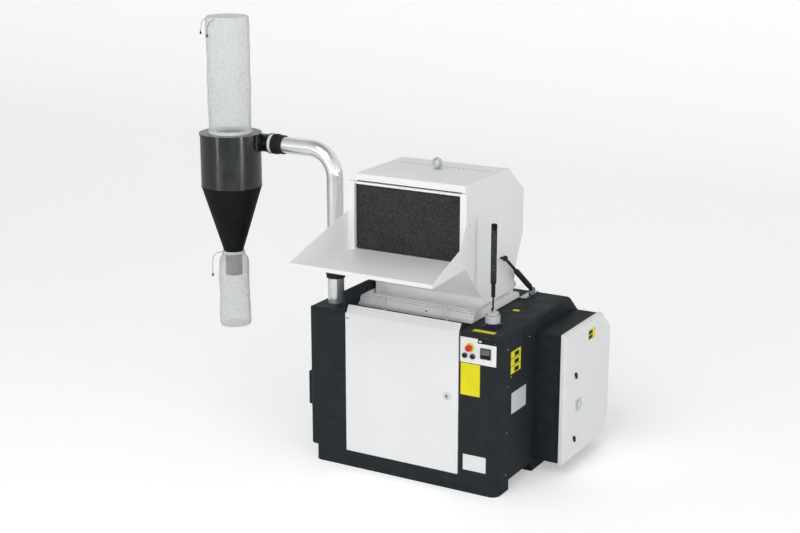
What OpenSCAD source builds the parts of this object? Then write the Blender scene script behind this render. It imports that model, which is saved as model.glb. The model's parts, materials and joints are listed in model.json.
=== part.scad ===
// Plastic granulator with tilting feed hopper, blower line and cyclone separator
// Units are millimetres, Z is up, the origin is on the floor under the centre of the base.
// Inside placed() the Y value is the distance behind the front face.

/* [Body] */
// Overall width across both columns
body_w = 1396; // [1200:1:1600]
// Depth from the front face to the rear face
body_d = 1260; // [1220:1:1400]
// Height of the column tops
body_h = 1060; // [950:1:1200]
// Height of the base below the columns
sill_h = 110; // [80:1:160]
// Thickness of the folded sheet
sheet_t = 3; // [2:0.5:5]
// Corner radius of the left column
left_corner_r = 42; // [20:1:60]
// Corner radius of the right column
right_corner_r = 55; // [20:1:80]
// Radius of the column top edges
top_edge_r = 20; // [8:1:25]
// Run of the rear slope
rear_slope_run = 219; // [160:1:360]
// Depth of the rear wall edge below the column tops
rear_wall_drop = 190; // [110:1:360]
// Inner face of the left column from the centre
left_inner_x = 430; // [400:1:470]
// Inner face of the right column from the centre
right_inner_x = 420; // [400:1:470]
// Rise of the tall side wall above the columns
wall_rise = 138; // [40:1:240]
// Thickness of the tall side wall
wall_t = 10; // [4:1:15]
// Inset of the base at the left column
sill_inset_left = 43; // [10:1:80]
// Inset of the base at the right column
sill_inset_right = 8; // [2:1:40]
// Distance from the front to the fork tunnel
fork_y = 172; // [120:1:250]
// Width of the fork tunnel
fork_w = 346; // [200:1:450]
// Height of the fork tunnel
fork_h = 68; // [50:1:90]
// Width of the upright tubes
post_w = 40; // [25:1:60]

/* [Front door] */
// Left edge of the door from the centre
door_left_x = 418.5; // [380:0.5:430]
// Right edge of the door from the centre
door_right_x = 412; // [380:1:418]
// Depth of the door bend below the column tops
door_bend_drop = 5; // [-20:1:110]
// Rise of the door top edge above the columns
door_top_rise = 45; // [10:1:90]
// How far the top edge leans back
door_lean = 35; // [20:1:60]
// Depth of the folded door edge
door_return = 22; // [15:1:30]
// Radius of the rolled hinge edge
door_roll_r = 9.5; // [7:0.5:12]
// Lock centre from the centre line
door_lock_x = 333; // [250:1:380]
// Lock centre above the floor
door_lock_z = 623; // [400:1:800]
// Radius of the lock bezel
lock_bezel_r = 24; // [15:1:35]

/* [Hopper] */
// Half width of the hopper shell
hopper_half_w = 392; // [350:1:415]
// Wall of the hopper shell
hopper_t = 4; // [2:0.5:6]
// Distance from the front to the hopper mouth
mouth_y = 107; // [80:1:150]
// Rise of the hopper mouth above the columns
mouth_rise = 381; // [290:1:440]
// Front of the neck
neck_front_y = 352; // [300:1:400]
// Rear of the neck
neck_rear_y = 809; // [750:1:900]
// Rise of the hopper roof above the columns
roof_rise = 898; // [790:1:1040]
// Rear end of the roof
roof_rear_y = 717; // [600:1:800]
// Rearmost point of the hopper
hopper_rear_y = 943; // [900:1:1000]
// Number of roof slots
slot_count = 22; // [10:1:30]
// Pitch of the roof slots
slot_pitch = 30.3; // [20:0.1:36]
// Length of a roof slot
slot_len = 40; // [20:1:60]
// Width of a roof slot
slot_w = 6; // [3:0.5:10]
// Distance from the front to the first end of the slots
slot_y = 548; // [450:1:640]
// Thickness of the hopper flange
flange_t = 17; // [10:1:25]
// Half width of the hopper flange
flange_half_w = 416; // [400:1:418]
// Front edge of the hopper flange
flange_front_y = 190; // [180:1:250]
// Rear edge of the hopper flange
flange_rear_y = 850; // [820:1:900]
// Rise of the front flange bar above the columns
flange_bar_rise = 85; // [60:1:120]
// Outer radius of the lifting eye
eye_r = 35; // [25:1:45]
// Distance from the front to the lifting eye
eye_y = 467; // [400:1:540]

/* [Feed tray] */
// Half width of the tray at the hopper
tray_rear_half_w = 423; // [400:1:440]
// Half width of the tray lip
tray_lip_half_w = 500; // [440:1:530]
// Distance from the front to the rear end of the tray
tray_rear_y = 64; // [40:1:90]
// How far the lip stands in front of the machine
tray_reach = 510; // [400:1:600]
// Rise of the tray floor at the hopper above the columns
tray_rear_rise = 411; // [390:1:440]
// Rise of the tray lip above the columns
tray_lip_rise = 440; // [411:1:480]
// Rise of the side cheeks above the columns
cheek_rise = 667; // [540:1:740]
// Depth of the knee in the right cheek's edge
knee_drop = 95; // [1:1:110]
// Distance of that knee from the rear end of the tray
knee_run = 107; // [80:1:200]
// Depth of the folded lip
lip_drop = 25; // [15:1:40]
// Half width of the feed opening
curtain_half_w = 376; // [340:1:380]
// Thickness of the rubber curtain
curtain_t = 5; // [3:0.5:8]
// Rise of the lower curtain edge above the columns
curtain_bottom_rise = 420; // [414:1:440]
// Rise of the curtain hinge line above the columns
curtain_hinge_rise = 828; // [790:1:840]
// Chamfer of the lower curtain corners
curtain_chamfer = 4; // [1:1:50]

/* [Chamber] */
// Distance from the front to the rotor axis
rotor_y = 580; // [560:1:600]
// Depth of the rotor axis below the column tops
rotor_drop = 230; // [210:1:280]
// Radius of the knife tips
rotor_r = 188; // [150:1:189]
// Radius of the rotor hub
hub_r = 100; // [60:1:120]
// Radius of the rotor shaft
shaft_r = 30; // [20:1:40]
// Thickness of the chamber side plates
plate_t = 25; // [15:1:25]
// Outer face of the chamber side plates from the centre
plate_x = 395; // [380:1:400]
// Front of the chamber side plates
plate_front_y = 300; // [280:1:330]
// Rear of the chamber side plates
plate_rear_y = 860; // [830:1:880]
// Thickness of the front and rear chamber walls
chamber_wall_t = 20; // [12:1:30]
// Front face of the throat
throat_front_y = 365; // [350:1:380]
// Rear face of the throat
throat_rear_y = 795; // [780:1:800]
// Thickness of the chamber top frame
top_frame_t = 18; // [12:1:25]
// Front edge of the chamber top frame
top_frame_front_y = 168; // [150:1:180]
// Rise of the top frame underside above the columns
top_frame_rise = 5; // [2:1:20]
// Radius of the granulate screen
screen_r = 196; // [192:1:200]
// Thickness of the screen
screen_t = 8; // [4:1:12]
// Width of the screen slots
screen_slot_w = 12; // [6:1:16]

/* [Drive] */
// Distance from the rear face to the motor axis
motor_inset = 210; // [180:1:240]
// Height of the motor axis
motor_z = 330; // [300:1:360]
// Radius of the main motor
motor_r = 125; // [90:1:140]
// Length of the main motor
motor_len = 390; // [300:1:450]
// Radius of the motor shaft
motor_shaft_r = 19; // [14:1:24]
// Rim radius of the motor pulley
motor_pulley_r = 80; // [60:1:100]
// Rim radius of the rotor pulley
rotor_pulley_r = 180; // [140:1:190]
// Width of the belt
belt_w = 60; // [30:1:80]
// Thickness of the belt
belt_t = 10; // [6:1:12]

/* [Granulate blower] */
// Distance from the front to the blower axis
blower_y = 370; // [350:1:400]
// Height of the blower axis
blower_z = 480; // [440:1:520]
// Width of the blower housing
blower_w = 110; // [80:1:115]
// Radius of the blower wheel
wheel_r = 150; // [120:1:155]
// Radius of the suction duct
duct_r = 50; // [40:1:55]
// Radius of the blower motor
blower_motor_r = 72; // [50:1:80]

/* [Conveying line] */
// Outer radius of the steel pipe
pipe_r = 54; // [40:1:60]
// Wall of the steel pipe
pipe_wall = 3; // [1.5:0.5:4]
// Pipe axis left of the centre
pipe_x = 592; // [560:1:620]
// Distance from the front to the pipe axis
pipe_y = 175; // [150:1:200]
// Height of the level run
pipe_run_z = 2072; // [1900:1:2200]
// Centre line radius of the bend
bend_r = 180; // [120:1:240]
// Rise of the lower coupling above the columns
coupling_low_rise = 170; // [90:1:240]
// Length of the lower coupling
coupling_low_len = 37; // [25:1:60]
// Right end of the upper coupling
coupling_up_x = 974; // [900:1:1000]
// Length of the upper coupling
coupling_up_len = 79; // [50:1:100]

/* [Cyclone] */
// Cyclone axis left of the centre
cyclone_x = 1305; // [1200:1:1400]
// Distance from the front to the cyclone axis
cyclone_y = 30; // [0:1:60]
// Radius of the cyclone barrel
barrel_r = 200; // [160:1:220]
// Height of the lid top
lid_z = 2150; // [2130:1:2300]
// Height where the cone starts
cone_top_z = 1795; // [1700:1:1850]
// Height of the cone end
cone_end_z = 1351; // [1250:1:1450]
// Radius of the cone end
cone_end_r = 64; // [50:1:80]
// Outer radius of the outlet tube
outlet_r = 55; // [40:1:60]
// Lower end of the outlet tube
outlet_end_z = 1188; // [1100:1:1250]
// Sheet of the cyclone
cyclone_t = 4; // [2:0.5:6]
// Outer radius of the filter bag
filter_r = 140; // [120:0.5:150]
// Top of the filter bag
filter_top_z = 2910; // [2500:1:3100]
// Outer radius of the collection bag foot
bag_foot_r = 107; // [90:1:120]
// Outer radius of the collection bag shoulder
bag_top_r = 98; // [85:1:110]
// Lower end of the collection bag
bag_end_z = 838; // [700:1:950]
// Thickness of the bag cloth
cloth_t = 2; // [1:0.5:3]

/* [Control cabinet] */
// Outer face of the cabinet box from the centre
cabinet_x = 876; // [820:1:920]
// Outer face of the cabinet door from the centre
cabinet_door_x = 908; // [880:1:960]
// Distance from the front to the cabinet
cabinet_front_y = 525; // [480:1:560]
// Distance from the front to the cabinet rear
cabinet_rear_y = 1265; // [1200:1:1300]
// Height of the cabinet underside
cabinet_low_z = 88; // [60:1:120]
// Height of the cabinet top
cabinet_top_z = 958; // [850:1:1000]
// Overhang of the cabinet door
cabinet_lap = 8; // [4:1:12]

/* [Operator controls] */
// Emergency stop centre from the centre line
stop_x = 492; // [470:1:520]
// Depth of the emergency stop below the column top
stop_drop = 89; // [70:1:120]
// Radius of the emergency stop head
stop_r = 20; // [15:1:25]
// Radius of the push buttons
button_r = 15; // [10:1:18]
// Travel of the push buttons
button_travel = 4; // [2:0.5:6]

/* [Hand pump and lifting ram] */
// Hand pump centre from the centre line
pump_x = 541; // [500:1:580]
// Distance from the front to the hand pump
pump_y = 212; // [180:1:260]
// Radius of the pump reservoir
jar_r = 47.5; // [35:0.5:55]
// Rise of the pump cap above the column
cap_rise = 90; // [60:1:120]
// Rise of the lever end above the column
lever_rise = 656; // [440:1:740]
// Ram plane from the centre line
ram_x = 448; // [440:1:460]
// Distance from the front to the lower ram pivot
ram_low_y = 985; // [960:1:1000]
// Rise of the lower ram pivot above the column
ram_low_rise = 32; // [25:1:50]
// Distance from the front to the upper ram pivot
ram_up_y = 565; // [540:1:600]
// Rise of the upper ram pivot above the column
ram_up_rise = 342; // [290:1:390]
// Radius of the ram barrel
ram_r = 19; // [14:1:24]
// Radius of the ram rod
ram_rod_r = 10; // [7:0.5:12]
// Distance from the front to the hopper hinge
hinge_y = 1015; // [1000:1:1030]
// Rise of the hopper hinge above the columns
hinge_rise = 40; // [30:1:50]

/* [Hidden] */
$fn = 48;
cut = 1;
wall_h = body_h + wall_rise;
door_top_z = body_h + door_top_rise;
mouth_z = body_h + mouth_rise;
roof_z = body_h + roof_rise;
flange_bar_z = body_h + flange_bar_rise;
tray_rear_z = body_h + tray_rear_rise;
tray_lip_z = body_h + tray_lip_rise;
cheek_top_z = body_h + cheek_rise;
curtain_bottom_z = body_h + curtain_bottom_rise;
curtain_hinge_z = body_h + curtain_hinge_rise;
top_frame_z = body_h + top_frame_rise;
coupling_low_z = body_h + coupling_low_rise;
cap_z = body_h + cap_rise;
lever_top_z = body_h + lever_rise;
ram_low_z = body_h + ram_low_rise;
ram_up_z = body_h + ram_up_rise;
hinge_z = body_h + hinge_rise;
door_bend_z = body_h - door_bend_drop;
rotor_z = body_h - rotor_drop;
stop_z = body_h - stop_drop;
rear_wall_h = body_h - rear_wall_drop;
motor_y = body_d - motor_inset;
rear_slope_y = body_d - rear_slope_run;
run_gap = 0.05;
move_gap = 0.3;
half_w = body_w / 2;
left_edge_x = half_w - sill_inset_left;
right_edge_x = half_w - sill_inset_right;
deck_t = 6;
pin_r = 4;
pipe_bore_r = pipe_r - pipe_wall;
flange_z = top_frame_z + top_frame_t + move_gap;
flange_top_z = flange_z + flange_t;
black = "#2b3034";
white = "#e9ebec";
steel = "#b9bdc0";
dark = "#1d1f21";
cloth = "#e3e6e6";

// sheet metal outline helpers
function unit(v) = v / norm(v);
function left_normal(a, b) = let (d = unit(b - a)) [-d[1], d[0]];
function inset(pts, t) = [for (i = [0:len(pts) - 1])
  let (n = len(pts), a = pts[(i + n - 1) % n], b = pts[i], c = pts[(i + 1) % n],
    p = left_normal(a, b), q = left_normal(b, c))
  b + t * (p + q) / (1 + p * q)];

// everything in placed() is measured back from the front face
module placed() {
  translate([0, -body_d / 2, 0]) children();
}

// a profile of depth and height, carried along the width
module yz_plate(x0, x1) {
  translate([x0, 0, 0]) rotate([90, 0, 90]) linear_extrude(x1 - x0) children();
}

// a profile of width and height, carried back from the front
module xz_plate(y0, y1) {
  translate([0, y1, 0]) rotate([90, 0, 0]) linear_extrude(y1 - y0) children();
}

// a round bar across the width
module x_rod(x0, x1, r) {
  translate([x0, 0, 0]) rotate([0, 90, 0]) cylinder(r = r, h = x1 - x0);
}

// a round bar from front to back
module y_rod(y0, y1, r) {
  translate([0, y0, 0]) rotate([-90, 0, 0]) cylinder(r = r, h = y1 - y0);
}

// a rectangle with rounded corners from its lower left corner
module soft_rect(w, h, r) {
  translate([r, 0]) square([w - 2 * r, h]);
  translate([0, r]) square([w, h - 2 * r]);
  for (x = [r, w - r]) {
    for (y = [r, h - r]) {
      translate([x, y]) circle(r = r);
    }
  }
}

// the material outside a rounded corner at the origin
module edge_void(r) {
  difference() {
    translate([-cut, -cut]) square(r + cut);
    translate([r, r]) circle(r = r);
  }
}

/* base */
module base_plan() {
  translate([-left_edge_x, 0]) difference() {
    square([left_edge_x + right_edge_x, body_d - sheet_t]);
    edge_void(left_corner_r);
    translate([left_edge_x + right_edge_x, 0]) mirror([1, 0]) edge_void(right_corner_r);
  }
}

sill_wall = 6;
window_inset = 60;
fork_cover = 20;
rear_sill_y = fork_y + fork_w;
post_front_y = 60;
post_rear_y = 980;
post_left_x = 480;
post_right_x = 600;

module sill_trough(y0, y1) {
  x_len = left_edge_x + right_edge_x - 2 * left_corner_r;
  translate([-left_edge_x + left_corner_r, y0 + sill_wall, sill_wall])
    cube([x_len, y1 - y0 - 2 * sill_wall, sill_h - sill_wall - deck_t]);
  for (i = [0:2]) {
    translate([-left_edge_x + left_corner_r + i * x_len / 3 + window_inset / 2, y0 + window_inset / 2, sill_wall])
      cube([x_len / 3 - window_inset, y1 - y0 - window_inset, sill_h]);
  }
}

module post(x, y) {
  translate([x, y, sill_wall - cut]) difference() {
    cube([post_w, post_w, body_h - sheet_t - sill_wall + cut]);
    translate([sheet_t, sheet_t, -cut]) cube([post_w - 2 * sheet_t, post_w - 2 * sheet_t, body_h]);
  }
}

module base_frame() color(black) placed() {
  difference() {
    linear_extrude(sill_h) base_plan();
    translate([-body_w, fork_y, -cut]) cube([2 * body_w, fork_w, fork_h + cut]);
    sill_trough(0, fork_y);
    sill_trough(rear_sill_y, body_d - sheet_t);
    translate([-right_inner_x, fork_y + fork_cover, fork_h + deck_t])
      cube([2 * right_inner_x, fork_w - 2 * fork_cover, sill_h]);
  }
  for (y = [post_front_y, post_rear_y]) {
    post(-post_left_x, y);
    post(post_right_x, y);
  }
}

/* columns */
module side_outline(z0, inner) {
  pts = [[0, z0], [body_d, z0], [body_d, rear_wall_h], [rear_slope_y, body_h], [0, body_h]];
  difference() {
    polygon(inset(pts, inner));
    translate([inner, body_h - inner]) mirror([0, 1]) edge_void(top_edge_r - inner);
  }
}

module column_block(x_in, corner_r, inner, z0) {
  x_out = half_w - inner;
  intersection() {
    yz_plate(x_in, x_out) side_outline(z0, inner);
    linear_extrude(body_h) translate([x_out, 0]) mirror([1, 0]) difference() {
      translate([0, inner]) square([x_out - x_in, body_d - 2 * inner]);
      translate([0, inner]) edge_void(corner_r - inner);
      translate([0, body_d - inner]) mirror([0, 1]) edge_void(corner_r - inner);
    }
    xz_plate(0, body_d) difference() {
      translate([x_in, z0]) square([x_out - x_in, body_h - z0]);
      translate([x_out, body_h - inner]) mirror([1, 0]) mirror([0, 1]) edge_void(top_edge_r - inner);
    }
  }
}

module column_cover(x_in, cavity_in, corner_r) {
  difference() {
    column_block(x_in, corner_r, 0, sill_h);
    column_block(cavity_in, corner_r, sheet_t, sill_h);
    translate([cavity_in + post_w / 8, post_w, sill_h - cut])
      cube([half_w - cavity_in - post_w * 3 / 2, body_d - 2 * post_w, post_w]);
  }
}

vent_z0 = 366;
vent_z1 = 600;
vent_y0 = 42;
vent_y1 = 520;
vent_depth = 29;
vent_bevel = 12;
vent_slots = 6;
vent_slot_w = 9;

module left_column_cover() color(black) placed() difference() {
  mirror([1, 0, 0]) column_cover(left_inner_x, left_inner_x - cut, left_corner_r);
  translate([-pipe_x, pipe_y, body_h - post_w]) cylinder(r = pipe_r + cut, h = 2 * post_w);
  translate([0, blower_y, blower_z]) x_rod(-half_w - cut, -half_w + post_w, blower_motor_r + vent_bevel);
}

module vent_profile(inner) {
  difference() {
    translate([-half_w - vent_depth + inner, vent_z0 + inner])
      square([vent_depth - inner + (inner > 0 ? cut : 0), vent_z1 - vent_z0 - 2 * inner]);
    for (z = [0, 1]) {
      translate([-half_w - vent_depth + inner, z == 0 ? vent_z0 + inner : vent_z1 - inner])
        mirror([0, z]) edge_void(vent_bevel);
    }
  }
}

module left_vent_hood() color(black) placed() difference() {
  xz_plate(vent_y0, vent_y1) vent_profile(0);
  xz_plate(vent_y0 + sheet_t, vent_y1 - sheet_t) vent_profile(sheet_t);
  for (i = [1:vent_slots]) {
    translate([-half_w - vent_depth - cut, vent_y0 + vent_bevel * 2, vent_z0 + i * (vent_z1 - vent_z0) / (vent_slots + 1)])
      cube([vent_bevel, vent_y1 - vent_y0 - 4 * vent_bevel, vent_slot_w]);
  }
}

wall_rear_run = 141;
wall_rear_y = rear_slope_y - wall_rear_run;

module left_side_panel() color(black) placed() difference() {
  yz_plate(-left_inner_x, -left_inner_x + wall_t)
    polygon([[0, sill_h], [body_d - sheet_t, sill_h], [body_d - sheet_t, rear_wall_h], [rear_slope_y, body_h],
      [wall_rear_y, wall_h], [0, wall_h]]);
  translate([0, blower_y, blower_z]) x_rod(-left_inner_x - cut, -left_inner_x + wall_t + cut, duct_r + cut);
}

module right_column_cover() color(black) placed() difference() {
  column_cover(right_inner_x, right_inner_x + sheet_t, right_corner_r);
  translate([0, rotor_y, rotor_z]) x_rod(right_inner_x - cut, right_inner_x + post_w, shaft_r + plate_t);
  translate([0, motor_y, motor_z]) x_rod(right_inner_x - cut, right_inner_x + post_w, motor_shaft_r + plate_t);
  for (p = [[stop_x, stop_z], [start_x, start_z], [halt_x, start_z]]) {
    translate([p[0], 0, p[1]]) y_rod(-cut, sheet_t + cut, barrel_hole_r);
  }
}

louvre_count = 7;
louvre_pitch = 60;
louvre_w = 14;
louvre_z = 420;
bay_gap = 0.5;

module rear_cover() color(black) placed() difference() {
  yz_plate(-left_inner_x + wall_t, right_inner_x) difference() {
    polygon([[rear_top_y, body_h - sheet_t], [rear_slope_y, body_h - sheet_t], [body_d - sheet_t, rear_wall_h],
      [body_d - sheet_t, sill_h], [body_d, sill_h], [body_d, rear_wall_h], [rear_slope_y, body_h],
      [rear_top_y, body_h]]);
  }
  for (i = [0:louvre_count - 1]) {
    for (s = [-1, 1]) {
      translate([s * right_inner_x / 2 - right_inner_x / 3, body_d - post_w, louvre_z + i * louvre_pitch])
        cube([right_inner_x * 2 / 3, 2 * post_w, louvre_w]);
    }
  }
}
rear_top_y = wall_rear_y;

/* front door, rolled on its hinge edge */
door_hinge_x = door_left_x - door_roll_r;
door_skin_t = 2.5;
door_gap_z = 1;
lock_hole_r = 12;

module door_section() {
  polygon([[0, sill_h + door_gap_z], [0, door_bend_z], [door_lean, door_top_z],
    [door_lean + door_skin_t, door_top_z - door_skin_t], [door_skin_t, door_bend_z - cut],
    [door_skin_t, sill_h + door_gap_z]]);
}

module front_door() color(white) placed() {
  difference() {
    union() {
      yz_plate(-door_hinge_x, door_right_x) door_section();
      translate([-door_hinge_x, door_roll_r, sill_h + door_gap_z])
        cylinder(r = door_roll_r, h = door_bend_z - sill_h - door_gap_z);
      translate([door_right_x - door_skin_t, 0, sill_h + door_gap_z])
        cube([door_skin_t, door_return, door_bend_z - sill_h - door_gap_z]);
      translate([-door_hinge_x, 0, sill_h + door_gap_z])
        cube([door_hinge_x + door_right_x, door_return, door_skin_t]);
      translate([door_lock_x, 0, door_lock_z]) y_rod(-bezel_t, door_skin_t, lock_bezel_r);
    }
    translate([-door_hinge_x, door_roll_r, 0]) cylinder(r = pin_r + run_gap, h = 2 * body_h);
    translate([door_lock_x, 0, door_lock_z]) y_rod(-2 * bezel_t, door_return, lock_hole_r + run_gap);
    translate([-left_inner_x, -cut, hinge_tab_z - door_gap_z])
      cube([left_inner_x - door_hinge_x + 2 * door_roll_r, door_return, hinge_tab_t + 2 * door_gap_z]);
  }
}
bezel_t = 6;

cam_w = 16;
cam_len = 66;
cam_t = 3;
cam_y = 26;
key_slot_w = 4;

module quarter_lock(r, front, back, reach) {
  difference() {
    union() {
      y_rod(front, back, r);
      translate([-cam_w / 2, back - cam_t, -reach]) cube([cam_w, cam_t, reach]);
    }
    translate([-key_slot_w / 2, front - cut, -r / 2]) cube([key_slot_w, cam_t + cut, r]);
  }
}

module door_lock() color(steel) placed()
  translate([door_lock_x, 0, door_lock_z]) quarter_lock(lock_hole_r, -bezel_t - cam_t, cam_y + cam_t, cam_len);

/* hinge pins and the lock keeper stand on the base and the side walls */
keeper_reach = 34;
keeper_h = 60;
pin_len = 30;
hinge_tab_t = 6;
hinge_tab_z = 1020;

module door_hinge_pins() color(steel) placed() {
  translate([-door_hinge_x, door_roll_r, sill_h]) cylinder(r = pin_r, h = pin_len);
  translate([-door_hinge_x, door_roll_r, hinge_tab_z - pin_len]) cylinder(r = pin_r, h = pin_len + cut);
  translate([-left_inner_x + wall_t, door_skin_t, hinge_tab_z]) cube([door_roll_r * 2, door_roll_r * 2, hinge_tab_t]);
  translate([right_inner_x - keeper_reach, door_return + move_gap * 2, door_lock_z - keeper_h / 2])
    cube([keeper_reach, sheet_t, keeper_h]);
}

/* operator panel */
plate_x0 = 425;
plate_x1 = 674;
panel_below = 101;
panel_above = 63;
panel_step = 35;
panel_z0 = stop_z - panel_below;
panel_z1 = stop_z + panel_above;
plate_step_x = 546;
panel_step_z = stop_z + panel_step;
control_plate_t = 2;
barrel_hole_r = 11.5;
button_barrel_r = 11;
start_x = 458;
halt_x = 513;
button_drop = 55;
start_z = stop_z - button_drop;
display_x = 567;
display_drop = 59;
display_z = stop_z - display_drop;
display_w = 70;
display_h = 68;
display_t = 8;
strip_h = 24;

module control_plate() color(white) placed() {
  button_collars();
  panel_sheet();
}

module panel_sheet() difference() {
  union() {
    translate([plate_x0, -control_plate_t, panel_z0]) cube([plate_x1 - plate_x0, control_plate_t, panel_step_z - panel_z0]);
    translate([plate_x0, -control_plate_t, panel_step_z - cut])
      cube([plate_step_x - plate_x0, control_plate_t, panel_z1 - panel_step_z + cut]);
  }
  for (p = [[stop_x, stop_z], [start_x, start_z], [halt_x, start_z]]) {
    translate([p[0], 0, p[1]]) y_rod(-2 * control_plate_t, cut, barrel_hole_r);
  }
}

module display_unit() color(dark) placed() {
  translate([display_x, -control_plate_t - display_t, display_z]) difference() {
    cube([display_w, display_t, display_h]);
    translate([display_t / 2, -cut, display_t / 2]) cube([display_w - display_t, 2 * cut, display_h - display_t]);
  }
}

/* collars are fixed, the heads slide in them */
collar_t = 5;

module button_collars() {
  for (p = [[stop_x, stop_z, collar_r], [start_x, start_z, button_r], [halt_x, start_z, button_r]]) {
    translate([p[0], 0, p[1]]) difference() {
      union() {
        y_rod(-control_plate_t - collar_t, -control_plate_t, p[2]);
        y_rod(-control_plate_t - cut, post_w, barrel_hole_r);
      }
      y_rod(-control_plate_t - 2 * collar_t, 2 * post_w, button_barrel_r - cut + run_gap);
    }
  }
}
collar_r = 15;

module push_head(r, len) {
  front = -control_plate_t - collar_t - button_travel - move_gap;
  y_rod(front - len, front, r);
  y_rod(front - cut, post_w, button_barrel_r - cut);
}

module emergency_stop() color("#c3272b") placed()
  translate([stop_x, 0, stop_z]) {
    push_head(stop_r, stop_r);
  }

module start_button() color(dark) placed() translate([start_x, 0, start_z]) push_head(button_r - cut, collar_t);

module stop_button() color(dark) placed() translate([halt_x, 0, start_z]) push_head(button_r - cut, collar_t);

/* cutting chamber */
rail_w = 40;
pan_z0 = 335;
pan_z1 = 610;
pan_half_w = 340;
pan_y0 = 320;
pan_y1 = 835;

module chamber_body() color(steel) placed() {
  difference() {
    for (s = [-1, 1]) {
      translate([s > 0 ? plate_x - plate_t : -plate_x, plate_front_y, sill_h])
        cube([plate_t, plate_rear_y - plate_front_y, top_frame_z - sill_h]);
    }
    translate([0, rotor_y, rotor_z]) x_rod(-plate_x - cut, plate_x + cut, shaft_r + cut);
    translate([0, blower_y, blower_z]) x_rod(-plate_x - cut, -plate_x + plate_t + cut, duct_r + cut);
  }
  for (y = [throat_front_y - chamber_wall_t, throat_rear_y]) {
    translate([-plate_x + plate_t, y, knife_z]) cube([2 * (plate_x - plate_t), chamber_wall_t, top_frame_z - knife_z]);
  }
  for (s = [-1, 1]) {
    translate([s > 0 ? plate_x - plate_t - rail_w : -plate_x + plate_t, pan_y0, pan_z0 - sheet_t])
      cube([rail_w, pan_y1 - pan_y0, sheet_t]);
  }
}
knife_rise = 20;
knife_z = rotor_z + knife_rise;
knife_t = 25;
knife_gap = 2;

module bed_knives() color(steel) placed() {
  reach = rotor_y - rotor_r - knife_gap - (throat_front_y - chamber_wall_t);
  for (s = [0, 1]) {
    translate([-plate_x + plate_t, s == 0 ? throat_front_y - chamber_wall_t : throat_rear_y + chamber_wall_t - reach, knife_z - knife_t])
      cube([2 * (plate_x - plate_t), reach, knife_t]);
  }
}

bearing_t = 22;
bearing_r = 68;

module bearing_housings() color(black) placed() for (s = [-1, 1]) {
  translate([0, rotor_y, rotor_z]) difference() {
    union() {
      x_rod(s > 0 ? plate_x : -plate_x - bearing_t, s > 0 ? plate_x + bearing_t : -plate_x, bearing_r);
      translate([s > 0 ? plate_x : -plate_x - bearing_t / 2, -bearing_r, -bearing_r])
        cube([bearing_t / 2, 2 * bearing_r, 2 * bearing_r]);
    }
    x_rod(-plate_x - 2 * bearing_t, plate_x + 2 * bearing_t, shaft_r + run_gap);
  }
}

lug_t = 12;
lug_x = 300;
lug_r = 22;
hinge_pin_r = 10;

module chamber_top_frame() color(white) placed() {
  difference() {
    translate([-flange_half_w + cut, top_frame_front_y, top_frame_z])
      cube([2 * (flange_half_w - cut), plate_rear_y - top_frame_front_y, top_frame_t]);
    translate([-throat_half_w, throat_front_y, top_frame_z - cut])
      cube([2 * throat_half_w, throat_rear_y - throat_front_y, top_frame_t + 2 * cut]);
    for (s = [-1, 1]) {
      translate([s * clamp_x, clamp_y, top_frame_z - cut]) cylinder(r = clamp_pin_r + run_gap, h = top_frame_t + 2 * cut);
    }
  }
  for (s = [-1, 1]) {
    translate([0, 0, 0]) difference() {
      yz_plate(s * lug_x - lug_t / 2, s * lug_x + lug_t / 2) difference() {
        union() {
          translate([hinge_y, hinge_z]) circle(r = lug_r);
          polygon([[plate_rear_y - lug_t * 2, top_frame_z], [hinge_y, hinge_z - lug_r], [hinge_y, hinge_z + lug_r],
            [flange_rear_y + lug_t, top_frame_z + top_frame_t], [plate_rear_y - lug_t * 2, top_frame_z + top_frame_t]]);
        }
        translate([hinge_y, hinge_z]) circle(r = hinge_pin_r + run_gap);
      }
    }
  }
}
throat_half_w = 350;
clamp_x = 227;
clamp_y = 179;
clamp_pin_r = 5;

module rotor() color(steel) placed() translate([0, rotor_y, rotor_z]) {
  x_rod(-plate_x - bearing_t + cut, pulley_x0 + belt_w + 2 * rim_t, shaft_r);
  x_rod(-plate_x + plate_t + rotor_side_gap, plate_x - plate_t - rotor_side_gap, hub_r);
  for (i = [0:2]) {
    rotate([i * 120, 0, 0]) translate([-plate_x + plate_t + rotor_side_gap, -arm_t / 2, hub_r / 2])
      cube([2 * (plate_x - plate_t - rotor_side_gap), arm_t, arm_reach - hub_r / 2]);
  }
  grooved_pulley(rotor_pulley_r, shaft_r);
}
rotor_side_gap = 6;
arm_t = 44;
arm_reach = 168;
blade_t = 12;
rim_t = 8;
pulley_x0 = 452;

module grooved_pulley(r, bore) {
  x_rod(pulley_x0, pulley_x0 + rim_t, r + rim_t / 2);
  x_rod(pulley_x0 + rim_t + belt_w, pulley_x0 + 2 * rim_t + belt_w, r + rim_t / 2);
  x_rod(pulley_x0 + rim_t - cut, pulley_x0 + rim_t + belt_w + cut, r);
}

module rotor_knives() color(steel) placed() translate([0, rotor_y, rotor_z]) for (i = [0:2]) {
  rotate([i * 120, 0, 0]) translate([-plate_x + plate_t + rotor_side_gap, arm_t / 2, hub_r + blade_t])
    cube([2 * (plate_x - plate_t - rotor_side_gap), blade_t, sqrt(rotor_r * rotor_r - pow(arm_t / 2 + blade_t, 2)) - hub_r - blade_t]);
}

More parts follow.
